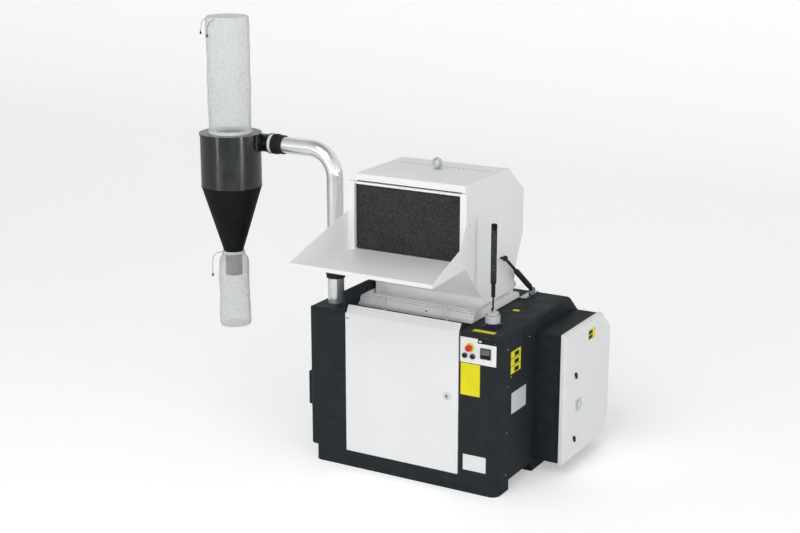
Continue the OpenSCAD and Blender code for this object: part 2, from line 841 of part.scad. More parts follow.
module screen() color(steel) placed() difference() {
  yz_plate(-plate_x + plate_t, plate_x - plate_t) translate([rotor_y, rotor_z]) difference() {
    circle(r = screen_r + screen_t);
    circle(r = screen_r);
    translate([-rotor_r * 2, knife_z - knife_t - rotor_z]) square(rotor_r * 4);
  }
  for (i = [-1:1]) {
    for (a = [-3:3]) {
      translate([i * plate_x * 0.6, rotor_y, rotor_z]) rotate([a * 22, 0, 0])
        translate([-plate_x / 4, -screen_slot_w / 2, -screen_r - 2 * screen_t])
        cube([plate_x / 2, screen_slot_w, 3 * screen_t]);
    }
  }
}

module granule_pan() color(steel) placed() {
  difference() {
    translate([-pan_half_w, pan_y0, pan_z0]) cube([2 * pan_half_w, pan_y1 - pan_y0, pan_z1 - pan_z0]);
    translate([-pan_half_w + sheet_t, pan_y0 + sheet_t, pan_z0 + sheet_t])
      cube([2 * (pan_half_w - sheet_t), pan_y1 - pan_y0 - 2 * sheet_t, pan_z1]);
    translate([0, blower_y, blower_z]) x_rod(-pan_half_w - cut, -pan_half_w + plate_t, duct_r - sheet_t);
  }
  translate([0, blower_y, blower_z]) difference() {
    x_rod(-pipe_x + blower_w / 2, -pan_half_w + cut, duct_r);
    x_rod(-pipe_x, 0, duct_r - sheet_t);
  }
}

/* main drive */
motor_x0 = -60;
foot_w = 60;
bell_t = 40;
box_w = 110;
box_h = 60;

module main_motor() color("#3a5a78") placed() translate([0, motor_y, motor_z]) difference() {
  union() {
    x_rod(motor_x0 + bell_t, motor_x0 + motor_len - bell_t, motor_r);
    x_rod(motor_x0, motor_x0 + motor_len, motor_r - bell_t / 2);
    for (x = [motor_x0 + bell_t, motor_x0 + motor_len - bell_t - foot_w]) {
      translate([x, -motor_r, sill_h - motor_z]) cube([foot_w, 2 * motor_r, rim_t * 2]);
      translate([x, -motor_r * 0.7, sill_h - motor_z]) cube([foot_w, motor_r * 1.4, motor_z - sill_h - motor_r / 2]);
    }
    translate([motor_x0 + motor_len / 2 - box_w / 2, -box_w / 2, motor_r * 0.8]) cube([box_w, box_w, box_h]);
  }
  x_rod(motor_x0 + motor_len / 2, motor_x0 + motor_len + cut, motor_shaft_r + run_gap);
}

module motor_pulley() color(steel) placed() translate([0, motor_y, motor_z]) {
  x_rod(motor_x0 + motor_len / 2 + run_gap, pulley_x0 + belt_w + 2 * rim_t, motor_shaft_r);
  grooved_pulley(motor_pulley_r, motor_shaft_r);
}

// belt outline from the two pulley circles and their outer tangents
belt_dir = unit([motor_y - rotor_y, motor_z - rotor_z]);
belt_dist = norm([motor_y - rotor_y, motor_z - rotor_z]);
belt_angle = acos((rotor_pulley_r - motor_pulley_r) / belt_dist);
function turned(v, a) = [v[0] * cos(a) - v[1] * sin(a), v[0] * sin(a) + v[1] * cos(a)];

module belt_block(extra, x0, x1) {
  a = turned(belt_dir, belt_angle) * (rotor_pulley_r + extra - run_gap);
  b = turned(belt_dir, -belt_angle) * (rotor_pulley_r + extra - run_gap);
  c = turned(belt_dir, belt_angle) * (motor_pulley_r + extra - run_gap);
  d = turned(belt_dir, -belt_angle) * (motor_pulley_r + extra - run_gap);
  translate([0, rotor_y, rotor_z]) x_rod(x0, x1, rotor_pulley_r + extra);
  translate([0, motor_y, motor_z]) x_rod(x0, x1, motor_pulley_r + extra);
  yz_plate(x0, x1) translate([rotor_y, rotor_z])
    polygon([a, belt_dir * belt_dist + c, belt_dir * belt_dist + d, b]);
}

module drive_belt() color(dark) placed() difference() {
  belt_block(move_gap + belt_t, pulley_x0 + rim_t + move_gap * 2, pulley_x0 + rim_t + belt_w - move_gap * 2);
  belt_block(move_gap, pulley_x0, pulley_x0 + belt_w + 2 * rim_t);
}

/* granulate blower */
volute_steps = 24;
volute_r0 = 172;
volute_r1 = blower_y - pipe_y + pipe_r;
outlet_top_z = blower_z + volute_r0;
blower_wall = 4;
wheel_w = 70;
wheel_shaft_r = 9;

function volute(r0, r1, n) = [for (i = [0:n]) let (a = 90 - i * 270 / n, r = r0 + (r1 - r0) * i / n)
  [blower_y + r * cos(a), blower_z + r * sin(a)]];

module blower_housing() color(black) placed() {
  x0 = -pipe_x - blower_w / 2;
  x1 = -pipe_x + blower_w / 2;
  difference() {
    yz_plate(x0, x1) union() {
      polygon(volute(volute_r0, volute_r1, volute_steps));
      translate([pipe_y - pipe_r, blower_z]) square([2 * pipe_r, outlet_top_z - blower_z]);
      translate([pipe_y, blower_z]) square([blower_y - pipe_y, volute_r0]);
    }
    yz_plate(x0 + blower_wall, x1 - blower_wall) union() {
      polygon(volute(volute_r0 - blower_wall, volute_r1 - blower_wall, volute_steps));
      translate([blower_y, blower_z]) circle(r = volute_r0 - blower_wall);
      translate([pipe_y - pipe_r + blower_wall, blower_z - cut]) square([2 * (pipe_r - blower_wall), outlet_top_z - blower_z - blower_wall]);
    }
    translate([-pipe_x, pipe_y, blower_z]) cylinder(r = pipe_bore_r - blower_wall, h = outlet_top_z);
    translate([0, blower_y, blower_z]) x_rod(x1 - plate_t, x1 + cut, duct_r - sheet_t);
    translate([0, blower_y, blower_z]) x_rod(x0 - cut, x0 + plate_t, wheel_shaft_r * 2);
  }
  for (y = [blower_y - volute_r0 / 2, blower_y + volute_r0 / 2]) {
    translate([x0, y - post_w / 2, sill_h + sheet_t]) cube([blower_w, post_w, blower_z - volute_r0 - sill_h]);
  }
}

module blower_impeller() color(steel) placed() translate([0, blower_y, blower_z]) {
  x0 = -pipe_x - wheel_w / 2;
  x_rod(x0, x0 + blower_wall, wheel_r);
  x_rod(x0, x0 + wheel_w * 0.6, wheel_r / 4);
  x_rod(-pipe_x - blower_w / 2 - post_w, x0 + cut, wheel_shaft_r);
  for (i = [0:5]) {
    rotate([i * 60, 0, 0]) translate([x0 + blower_wall - cut, -blower_wall / 2, wheel_r / 5])
      cube([wheel_w - blower_wall, blower_wall, wheel_r * 0.78]);
  }
}

module blower_motor() color(black) placed() translate([0, blower_y, blower_z]) difference() {
  union() {
    x_rod(-half_w - vent_bevel, -pipe_x - blower_w / 2, blower_motor_r - rim_t);
    x_rod(-half_w, -pipe_x - blower_w / 2 - rim_t, blower_motor_r);
  }
  x_rod(-pipe_x - blower_w / 2 - post_w - run_gap, -pipe_x, wheel_shaft_r + run_gap);
}

/* conveying line */
module tube(r, h) {
  difference() {
    cylinder(r = r, h = h);
    translate([0, 0, -cut]) cylinder(r = r - pipe_wall, h = h + 2 * cut);
  }
}

coupling_wall = 8.5;
coupling_up_wall = 13;
joint_z = coupling_low_z + coupling_low_len / 2;

module discharge_pipe() color(steel) placed()
  translate([-pipe_x, pipe_y, outlet_top_z]) tube(pipe_r, joint_z - outlet_top_z);

module conveying_pipe() color(steel) placed() {
  translate([-pipe_x, pipe_y, joint_z]) tube(pipe_r, pipe_run_z - bend_r - joint_z);
  translate([-pipe_x - bend_r, pipe_y, pipe_run_z - bend_r]) rotate([90, 0, 0])
    rotate_extrude(angle = 90, $fn = 96) translate([bend_r, 0]) difference() {
      circle(r = pipe_r);
      circle(r = pipe_r - pipe_wall);
    }
  translate([-coupling_up_x - coupling_up_len, pipe_y, pipe_run_z]) rotate([0, 90, 0])
    tube(pipe_r, coupling_up_x + coupling_up_len - pipe_x - bend_r);
}

module pipe_couplings() color(dark) placed() {
  translate([-pipe_x, pipe_y, coupling_low_z]) difference() {
    union() {
      cylinder(r = pipe_r + coupling_wall, h = coupling_low_len);
      translate([0, 0, coupling_low_len * 0.7]) cylinder(r = pipe_r + coupling_up_wall, h = coupling_low_len * 0.3);
    }
    translate([0, 0, -cut]) cylinder(r = pipe_r, h = coupling_low_len + 2 * cut);
  }
  translate([0, pipe_y, pipe_run_z]) difference() {
    union() {
      x_rod(-coupling_up_x - coupling_up_len, -coupling_up_x, pipe_r + coupling_wall);
      x_rod(-coupling_up_x - coupling_up_len, -coupling_up_x - coupling_up_len * 0.6, pipe_r + coupling_up_wall);
    }
    x_rod(-coupling_up_x - coupling_up_len - cut, -coupling_up_x + cut, pipe_r);
  }
}

/* cyclone */
ring_t = 16;
inlet_ring_t = 23;
stub_r = 60;
lid_t = 10;
lid_lap = 5;
finder_r = 88;
finder_len = 300;
base_ring_h = 15;
barrel_top_z = lid_z - lid_t;

module at_cyclone(z) translate([-cyclone_x, cyclone_y, z]) children();

module cyclone_barrel() color(black) placed() {
  difference() {
    union() {
      at_cyclone(cone_top_z) cylinder(r = barrel_r, h = barrel_top_z - cone_top_z, $fn = 96);
      translate([0, pipe_y, pipe_run_z]) x_rod(-cyclone_x, -inlet_x, stub_r);
      translate([0, pipe_y, pipe_run_z]) x_rod(-inlet_x - rim_t, -inlet_x, stub_r + rim_t);
    }
    at_cyclone(cone_top_z - cut) cylinder(r = barrel_r - cyclone_t, h = barrel_top_z, $fn = 96);
    translate([0, pipe_y, pipe_run_z]) x_rod(-cyclone_x, -inlet_x + cut, pipe_bore_r);
  }
}
inlet_x = coupling_up_x + coupling_up_len + inlet_ring_t;

module cyclone_cone() color(dark) placed() at_cyclone(0) {
  rotate_extrude($fn = 96) polygon([[barrel_r, cone_top_z], [barrel_r - cyclone_t, cone_top_z],
    [cone_end_r - cyclone_t, cone_end_z], [cone_end_r, cone_end_z]]);
  translate([0, 0, outlet_end_z]) difference() {
    union() {
      cylinder(r = outlet_r, h = cone_end_z - outlet_end_z + cut);
      translate([0, 0, cone_end_z - outlet_end_z]) cylinder(r = cone_end_r - cyclone_t / 2, h = cyclone_t);
    }
    translate([0, 0, -cut]) cylinder(r = outlet_r - cyclone_t, h = cone_end_z);
  }
}

module cyclone_lid() color(black) placed() at_cyclone(0) difference() {
  union() {
    translate([0, 0, barrel_top_z]) cylinder(r = barrel_r + lid_lap, h = lid_t, $fn = 96);
    translate([0, 0, barrel_top_z - finder_len]) cylinder(r = finder_r, h = finder_len + cut);
  }
  translate([0, 0, barrel_top_z - finder_len - cut]) cylinder(r = finder_r - cyclone_t, h = finder_len + lid_t + 2 * cut);
}

module collar_rings() color(white) placed() {
  at_cyclone(lid_z) difference() {
    cylinder(r = filter_r + cloth_t, h = base_ring_h, $fn = 72);
    translate([0, 0, -cut]) cylinder(r = finder_r + rim_t, h = base_ring_h + 2 * cut);
  }
  at_cyclone(cone_end_z - ring_t) difference() {
    cylinder(r = neck_r, h = ring_t);
    translate([0, 0, -cut]) cylinder(r = outlet_r, h = ring_t + 2 * cut);
  }
  translate([0, pipe_y, pipe_run_z]) difference() {
    x_rod(-inlet_x, -inlet_x + inlet_ring_t, stub_r + rim_t / 2);
    x_rod(-inlet_x - cut, -inlet_x + inlet_ring_t + cut, pipe_bore_r);
  }
}
neck_r = 73;

/* bags */
module filter_bag() color(cloth) placed() at_cyclone(lid_z + base_ring_h) difference() {
  cylinder(r = filter_r, h = filter_top_z - lid_z - base_ring_h, $fn = 64);
  translate([0, 0, -cut]) cylinder(r = filter_r - cloth_t, h = filter_top_z - lid_z - base_ring_h - cloth_t + cut, $fn = 64);
}

shoulder_drop = 45;
neck_h = 26;

module collection_bag() color(cloth) placed() at_cyclone(cone_end_z - ring_t) {
  foot = bag_end_z - cone_end_z + ring_t;
  shoulder = -neck_h - shoulder_drop;
  rotate_extrude($fn = 64) polygon([[neck_r, ring_t], [neck_r, -neck_h], [bag_top_r - cloth_t, shoulder],
    [bag_foot_r - cloth_t, foot + cloth_t], [0, foot + cloth_t], [0, foot], [bag_foot_r, foot], [bag_top_r, shoulder],
    [neck_r + cloth_t, -neck_h], [neck_r + cloth_t, ring_t]]);
}

/* drawcords, one swept body for every free length */
cord_r = 1.6;
cord_sides = 8;
cord_ring = 8;
bead_r = 6;
bead_h = 18;
upper_tail_route = [[-1389, -82, 2893], [-1395, -90, 2892], [-1408, -92, 2886], [-1420, -90, 2864], [-1428, -86, 2836],
  [-1434, -84, 2812]];
second_tail_route = [[-1305, -110, 2896], [-1305, -118, 2895], [-1318, -124, 2885], [-1340, -122, 2866], [-1354, -118, 2838],
  [-1358, -118, 2800]];
lower_tail_route = [[-1365, -15, 1342], [-1373, -21, 1341], [-1396, -34, 1334], [-1418, -42, 1312], [-1426, -44, 1270],
  [-1428, -44, 1225], [-1429, -44, 1190]];

function curve(p0, p1, p2, p3, t) = 0.5 * (2 * p1 + (p2 - p0) * t + (2 * p0 - 5 * p1 + 4 * p2 - p3) * t * t
  + (3 * p1 - p0 - 3 * p2 + p3) * t * t * t);
function smooth(route, n) = [for (i = [0:len(route) - 2], k = [0:n - 1])
  let (last = len(route) - 1)
  curve(route[max(i - 1, 0)], route[i], route[i + 1], route[min(i + 2, last)], k / n),
  route[len(route) - 1]];
function tangent(path, i) = i == len(path) - 1 ? [0, 0, -1] : i == 0 ? unit(path[1] - path[0])
  : unit(path[i + 1] - path[i - 1]);
function side_of(d) = unit(cross(d, [0.3, -0.9, 0.2]));

module cord(route) {
  path = smooth(route, 3);
  rings = [for (i = [0:len(path) - 1]) let (d = tangent(path, i), u = side_of(d), v = cross(d, u))
    for (k = [0:cord_sides - 1]) path[i] + cord_r * (cos(k * 360 / cord_sides) * u + sin(k * 360 / cord_sides) * v)];
  n = len(path);
  walls = [for (i = [0:n - 2], k = [0:cord_sides - 1]) let (m = (k + 1) % cord_sides)
    [i * cord_sides + k, (i + 1) * cord_sides + k, (i + 1) * cord_sides + m, i * cord_sides + m]];
  first = [for (k = [0:cord_sides - 1]) k];
  last = [for (k = [cord_sides - 1:-1:0]) (n - 1) * cord_sides + k];
  polyhedron(points = rings, faces = concat([first], walls, [last]), convexity = 6);
}

module upper_cord_tail() color(cloth) placed() cord(upper_tail_route);

module second_cord_tail() color(cloth) placed() cord(second_tail_route);

module lower_cord_tail() color(cloth) placed() cord(lower_tail_route);

module cord_toggles() color(cloth) placed() for (route = [upper_tail_route, second_tail_route, lower_tail_route]) {
  translate(route[len(route) - 1] - [0, 0, bead_h]) cylinder(r = bead_r, h = bead_h, $fn = 24);
}

/* hopper */
neck_top_rise = 120;
rear_kick_y = 847;
rear_kick_rise = 244;
rear_low_rise = 428;
rear_high_drop = 175;
neck_rear_rise = 65;
hopper_pts = [[neck_front_y, flange_top_z], [neck_rear_y, flange_top_z], [neck_rear_y, body_h + neck_rear_rise],
  [rear_kick_y, body_h + rear_kick_rise], [hopper_rear_y - cut, body_h + rear_low_rise],
  [hopper_rear_y, roof_z - rear_high_drop], [roof_rear_y, roof_z], [mouth_y, roof_z], [mouth_y, mouth_z],
  [neck_front_y, body_h + neck_top_rise]];
header_drop = 43;
header_z = roof_z - header_drop;

module hopper_shell() color(white) placed() {
  hopper_bosses();
  hopper_sheet();
}

module hopper_sheet() difference() {
  yz_plate(-hopper_half_w, hopper_half_w) polygon(hopper_pts);
  yz_plate(-hopper_half_w + hopper_t, hopper_half_w - hopper_t) polygon(inset(hopper_pts, hopper_t));
  translate([-hopper_half_w + hopper_t, neck_front_y + hopper_t, flange_top_z - cut])
    cube([2 * (hopper_half_w - hopper_t), neck_rear_y - neck_front_y - 2 * hopper_t, flange_t]);
  translate([-hopper_half_w + hopper_t, mouth_y - cut, tray_rear_z - sheet_t])
    cube([2 * (hopper_half_w - hopper_t), 2 * flange_t, header_z - tray_rear_z + sheet_t]);
  for (i = [0:slot_count - 1]) {
    translate([(i - (slot_count - 1) / 2) * slot_pitch - slot_w / 2, slot_y, roof_z - flange_t])
      cube([slot_w, slot_len, 2 * flange_t]);
  }
}

bar_t = 15;
side_bar_w = 8;
side_bar_rise = 67;
side_bar_z = body_h + side_bar_rise;
side_bar_end_y = 720;
bar_corner_r = 34;
eye_gap = 0.4;

module hopper_flange() color(white) placed() {
  hopper_hinge_arms();
  difference() {
    translate([-flange_half_w, flange_front_y, flange_z])
      cube([2 * flange_half_w, flange_rear_y - flange_front_y, flange_t]);
    translate([-hopper_half_w + hopper_t, neck_front_y + hopper_t, flange_z - cut])
      cube([2 * (hopper_half_w - hopper_t), neck_rear_y - neck_front_y - 2 * hopper_t, flange_t + 2 * cut]);
  }
  xz_plate(flange_front_y, flange_front_y + bar_t) difference() {
    translate([-plate_x, flange_z]) square([2 * plate_x, flange_bar_z - flange_z]);
    for (s = [0, 1]) {
      mirror([s, 0]) translate([-plate_x, flange_bar_z]) mirror([0, 1]) edge_void(bar_corner_r);
    }
  }
  for (s = [0, 1]) {
    mirror([s, 0, 0]) yz_plate(flange_half_w - side_bar_w, flange_half_w) difference() {
      translate([flange_front_y, flange_z]) square([side_bar_end_y - flange_front_y, side_bar_z - flange_z]);
      translate([side_bar_end_y, side_bar_z]) mirror([1, 0]) mirror([0, 1]) edge_void(side_bar_z - flange_top_z);
      translate([flange_front_y, side_bar_z]) mirror([0, 1]) edge_void(side_bar_z - flange_top_z);
    }
  }
}

/* arms that carry the hopper on its rear pins */
module hopper_hinge_arms() for (s = [-1, 1]) {
  arm_x = s * (lug_x - lug_t - move_gap);
  yz_plate(arm_x - lug_t / 2, arm_x + lug_t / 2) union() {
    polygon([[neck_rear_y + hopper_t, flange_top_z], [flange_rear_y, flange_top_z], [hinge_y, hinge_z - lug_r + lug_t / 2],
      [hinge_y + lug_r / 2, hinge_z + lug_r * 0.7], [neck_rear_y + hopper_t, flange_top_z + lug_r]]);
    translate([hinge_y, hinge_z]) circle(r = lug_r - lug_t / 2);
  }
  translate([0, hinge_y, hinge_z]) x_rod(s > 0 ? arm_x : arm_x - 2 * lug_t, s > 0 ? arm_x + 2 * lug_t : arm_x, hinge_pin_r);
}

/* feed tray with its cheeks and the strips beside the mouth */
tray_t = 3;
tray_len = tray_rear_y + tray_reach;

module tray_plan(inner) {
  polygon([[-tray_rear_half_w + inner, tray_rear_y], [-tray_lip_half_w + inner, -tray_reach + inner],
    [tray_lip_half_w - inner, -tray_reach + inner], [tray_rear_half_w - inner, tray_rear_y]]);
}

module cheek(drop) {
  run = tray_lip_half_w - tray_rear_half_w;
  edge_len = norm([run, tray_len]);
  knee_z = cheek_top_z + (tray_lip_z - cheek_top_z) * knee_run / edge_len - drop;
  translate([tray_rear_half_w, tray_rear_y, 0]) rotate([0, 0, atan2(-tray_len, run)])
    translate([0, tray_t, 0]) rotate([90, 0, 0]) translate([0, 0, tray_t]) linear_extrude(tray_t)
      polygon(concat([[-cut, tray_rear_z - lip_drop], [edge_len, tray_lip_z - lip_drop], [edge_len, tray_lip_z]],
        drop > 0 ? [[knee_run, knee_z]] : [], [[-cut, cheek_top_z]]));
}

module feed_tray() color(white) placed() {
  curtain_bar();
  intersection() {
    translate([0, 0, tray_rear_z - 2 * lip_drop]) linear_extrude(4 * lip_drop) tray_plan(tray_t / 2);
    yz_plate(-tray_lip_half_w, tray_lip_half_w) polygon([[tray_rear_y, tray_rear_z - tray_t], [tray_rear_y, tray_rear_z],
      [-tray_reach, tray_lip_z], [-tray_reach, tray_lip_z - lip_drop], [-tray_reach + tray_t, tray_lip_z - lip_drop],
      [-tray_reach + tray_t, tray_lip_z - tray_t]]);
  }
  for (s = [0, 1]) {
    mirror([s, 0, 0]) cheek(s == 0 ? knee_drop : 0);
  }
  translate([-curtain_half_w - 2 * tray_t, tray_rear_y, tray_rear_z - tray_t])
    cube([2 * (curtain_half_w + 2 * tray_t), mouth_y - tray_rear_y, tray_t]);
  for (s = [0, 1]) {
    mirror([s, 0, 0]) difference() {
      translate([curtain_half_w + tray_t, tray_rear_y, mouth_z])
        cube([tray_rear_half_w - curtain_half_w - tray_t, mouth_y - tray_rear_y, header_z - mouth_z]);
      translate([curtain_half_w + 3 * tray_t, tray_rear_y + tray_t, mouth_z - cut])
        cube([tray_rear_half_w, mouth_y, header_z - mouth_z - tray_t]);
      translate([0, curtain_y, curtain_hinge_z]) x_rod(0, curtain_half_w + 4 * tray_t, pin_r + run_gap);
    }
  }
}
curtain_y = 90;

module curtain_bar()
  translate([-curtain_half_w - tray_t, curtain_y - curtain_t, curtain_hinge_z + 2 * pin_r])
    cube([2 * (curtain_half_w + tray_t), mouth_y - curtain_y + curtain_t, header_z - curtain_hinge_z - 4 * pin_r + cut]);

module feed_curtain() color(dark) placed() {
  xz_plate(curtain_y - curtain_t / 2, curtain_y + curtain_t / 2) polygon([[-curtain_half_w, curtain_bottom_z + curtain_chamfer],
    [-curtain_half_w + curtain_chamfer, curtain_bottom_z], [curtain_half_w - curtain_chamfer, curtain_bottom_z],
    [curtain_half_w, curtain_bottom_z + curtain_chamfer], [curtain_half_w, curtain_hinge_z], [-curtain_half_w, curtain_hinge_z]]);
  translate([0, curtain_y, curtain_hinge_z]) x_rod(-curtain_half_w, curtain_half_w, pin_r + cut);
  translate([0, curtain_y, curtain_hinge_z]) x_rod(-curtain_half_w - 3 * tray_t, curtain_half_w + 3 * tray_t, pin_r);
}

eye_bar_r = 8;

module lifting_eye() color(steel) placed() translate([0, eye_y, roof_z]) {
  cylinder(r = eye_r * 0.75, h = eye_bar_r);
  translate([0, 0, eye_bar_r + eye_r]) rotate([90, 0, 0]) rotate_extrude($fn = 40) translate([eye_r - eye_bar_r, 0]) circle(r = eye_bar_r, $fn = 20);
  translate([0, 0, eye_bar_r - cut]) cylinder(r = eye_bar_r, h = eye_bar_r * 1.5);
}

/* T clamps in front of the flange bar */
clamp_head_w = 76;
clamp_head_t = 9;
clamp_head_z = flange_bar_z + cut;

module hopper_clamp(s) color(white) placed() translate([s * clamp_x, clamp_y, 0]) {
  translate([0, 0, top_frame_z - clamp_head_t]) cylinder(r = clamp_pin_r, h = clamp_head_z - top_frame_z + 2 * clamp_head_t);
  translate([0, 0, top_frame_z - 2 * clamp_head_t]) cylinder(r = clamp_pin_r * 2, h = 2 * clamp_head_t - move_gap);
  translate([-clamp_head_w / 2, -clamp_head_t / 2, clamp_head_z]) cube([clamp_head_w, clamp_head_t, clamp_head_t]);
  translate([0, 0, clamp_head_z - 3 * clamp_head_t]) cylinder(r = clamp_head_t, h = 4 * clamp_head_t);
}

module left_hopper_clamp() hopper_clamp(-1);

module right_hopper_clamp() hopper_clamp(1);

/* ram and hand pump */
ram_dir = unit([ram_up_y - ram_low_y, ram_up_z - ram_low_z]);
ram_angle = atan2(ram_dir[1], ram_dir[0]);
ram_len = norm([ram_up_y - ram_low_y, ram_up_z - ram_low_z]);
ram_pin_r = 8;
ram_eye_r = 20;
barrel_len = 250;
rod_start = 150;
boss_r = 16;

module along_ram() translate([ram_x, ram_low_y, ram_low_z]) rotate([ram_angle, 0, 0]) children();

module ram_bracket() color(steel) placed() difference() {
  union() {
    translate([ram_x - bracket_w / 2, bracket_y0, body_h]) cube([bracket_w, rear_slope_y - bracket_y0, rim_t]);
    for (s = [-1, 1]) {
      translate([ram_x + s * (ram_eye_r / 2 + bracket_t / 2 + move_gap) - bracket_t / 2, 0, 0]) yz_plate(0, bracket_t) union() {
        translate([ram_low_y - ram_eye_r, body_h]) square([2 * ram_eye_r, ram_low_z - body_h]);
        translate([ram_low_y, ram_low_z]) circle(r = ram_eye_r * 0.8);
      }
    }
  }
  translate([0, ram_low_y, ram_low_z]) x_rod(ram_x - ram_eye_r * 2, ram_x + ram_eye_r * 2, ram_pin_r + run_gap);
}
bracket_w = 50;
bracket_t = 6;
bracket_run = 206;
bracket_y0 = rear_slope_y - bracket_run;

module ram_barrel() color(black) placed() {
  along_ram() difference() {
    union() {
      translate([0, rod_start - ram_eye_r * 5, 0]) y_rod(0, barrel_len, ram_r);
      y_rod(0, rod_start - ram_eye_r * 4, ram_eye_r / 2 - cut);
      y_rod(rod_start - ram_eye_r * 5 + barrel_len - cut, rod_start - ram_eye_r * 5 + barrel_len + 2 * rim_t, ram_r - bracket_t / 2);
    }
    y_rod(rod_start - ram_eye_r * 5 + rim_t * 2, ram_len, ram_rod_r + run_gap);
  }
  translate([0, ram_low_y, ram_low_z]) {
    x_rod(ram_x - ram_eye_r / 2, ram_x + ram_eye_r / 2, ram_eye_r * 0.75);
    x_rod(ram_x - bracket_t * 3, ram_x + bracket_t * 3, ram_pin_r);
  }
}

module ram_rod() color(steel) placed() {
  along_ram() y_rod(rod_start - ram_eye_r, ram_len, ram_rod_r);
  translate([0, ram_up_y, ram_up_z]) {
    x_rod(ram_x - ram_eye_r / 2, ram_x + ram_eye_r / 2, ram_eye_r * 0.9);
    x_rod(hopper_half_w + boss_reach + move_gap, ram_x, ram_pin_r);
  }
}
boss_reach = 24;
side_boss_r = 17.5;
side_boss_y = 176;
side_boss_drop = 271;
side_boss_z = roof_z - side_boss_drop;

module hopper_bosses() {
  translate([0, ram_up_y, ram_up_z]) x_rod(hopper_half_w, hopper_half_w + boss_reach, boss_r);
  translate([0, ram_up_y, ram_up_z]) x_rod(hopper_half_w, hopper_half_w + hopper_t * 2, boss_r * 2);
  translate([0, side_boss_y, side_boss_z]) x_rod(hopper_half_w, hopper_half_w + hopper_t * 2, side_boss_r);
}

pump_foot = 104;
jar_wall = 3;
pump_base_h = 24;
jar_z = body_h + pump_base_h;
cap_t = 16;
lever_pivot_rise = 16;
lever_pivot_z = cap_z + lever_pivot_rise;
lug_gap = 9;

module pump_body() color("#4b4a78") placed() translate([pump_x, pump_y, 0]) {
  translate([-pump_foot / 2, -pump_foot / 2, body_h]) cube([pump_foot, pump_foot, rim_t]);
  translate([0, 0, body_h]) cylinder(r = jar_r, h = jar_z - body_h);
  translate([0, 0, jar_z - cut]) cylinder(r = jar_r / 3, h = cap_z - cap_t - jar_z + cut);
}

module pump_reservoir() color(white) placed() translate([pump_x, pump_y, 0]) {
  difference() {
    translate([0, 0, jar_z]) cylinder(r = jar_r, h = cap_z - cap_t - jar_z);
    translate([0, 0, jar_z - cut]) cylinder(r = jar_r - jar_wall, h = cap_z);
  }
  translate([0, 0, cap_z - cap_t]) cylinder(r = jar_r * 0.8, h = cap_t);
  difference() {
    for (s = [-1, 1]) {
      translate([s > 0 ? lug_gap : -2 * lug_gap, -lug_gap, cap_z - cut]) cube([lug_gap, 2 * lug_gap, lever_pivot_z - cap_z + lug_gap]);
    }
    translate([0, 0, lever_pivot_z]) x_rod(-3 * lug_gap, 3 * lug_gap, pin_r + run_gap);
  }
}

lever_rod_r = 5.5;
lever_sleeve_rise = 99;
lever_sleeve_z = cap_z + lever_sleeve_rise;
lever_sleeve_r = 13;
lever_grip_rise = 183;
lever_grip_z = cap_z + lever_grip_rise;
lever_grip_r = 18;

module pump_lever() color(dark) placed() translate([pump_x, pump_y, 0]) {
  translate([0, 0, lever_pivot_z]) x_rod(-lug_gap + move_gap, lug_gap - move_gap, lug_gap);
  translate([0, 0, lever_pivot_z]) x_rod(-2 * lug_gap, 2 * lug_gap, pin_r);
  translate([0, 0, lever_pivot_z]) cylinder(r = lever_rod_r, h = lever_sleeve_z - lever_pivot_z + cut);
  translate([0, 0, lever_sleeve_z]) cylinder(r = lever_sleeve_r, h = lever_grip_z - lever_sleeve_z + cut);
  translate([0, 0, lever_grip_z]) rotate_extrude() polygon([[0, 0], [lever_sleeve_r, 0], [lever_grip_r, lever_rod_r],
    [lever_grip_r, lever_top_z - lever_grip_z - lever_rod_r], [lever_sleeve_r, lever_top_z - lever_grip_z], [0, lever_top_z - lever_grip_z]]);
}

/* control cabinet */
cabinet_low_run = 40;
cabinet_low_rise = 127;
cabinet_high_run = 150;
cabinet_high_drop = 130;
cabinet_pts = [[cabinet_front_y, cabinet_low_z], [cabinet_rear_y - cabinet_low_run, cabinet_low_z],
  [cabinet_rear_y, cabinet_low_z + cabinet_low_rise], [cabinet_rear_y, cabinet_top_z - cabinet_high_drop],
  [cabinet_rear_y - cabinet_high_run, cabinet_top_z], [cabinet_front_y, cabinet_top_z]];

module cabinet_box() color(black) placed() {
  cabinet_hinges();
  cabinet_sheet();
}

module cabinet_sheet() difference() {
  yz_plate(half_w, cabinet_x) polygon(cabinet_pts);
  yz_plate(half_w + sheet_t, cabinet_x + cut) polygon(inset(cabinet_pts, sheet_t));
}

back_plate_t = 4;
back_plate_gap = 30;
panel_pts = inset(cabinet_pts, back_plate_gap);

module cabinet_back_plate() color("#d08a2a") placed() {
  yz_plate(half_w + sheet_t, half_w + sheet_t + back_plate_t) polygon(panel_pts);
  for (r = [0:2]) {
    for (i = [0:4]) {
      translate([half_w + sheet_t + back_plate_t - cut, cabinet_front_y + 2 * back_plate_gap + i * device_pitch, device_z + r * device_row])
        cube([device_depth, device_pitch * 0.8, device_h]);
    }
  }
}
device_pitch = 110;
device_z = 260;
device_row = 200;
device_depth = 70;
device_h = 100;

hinge_knuckle_r = 9;
hinge_len = 36;
cabinet_hinge_y = cabinet_rear_y + cabinet_lap + hinge_knuckle_r;
cabinet_hinge_x = cabinet_x - hinge_knuckle_r + sheet_t;
cabinet_hinge_zs = [300, 720];

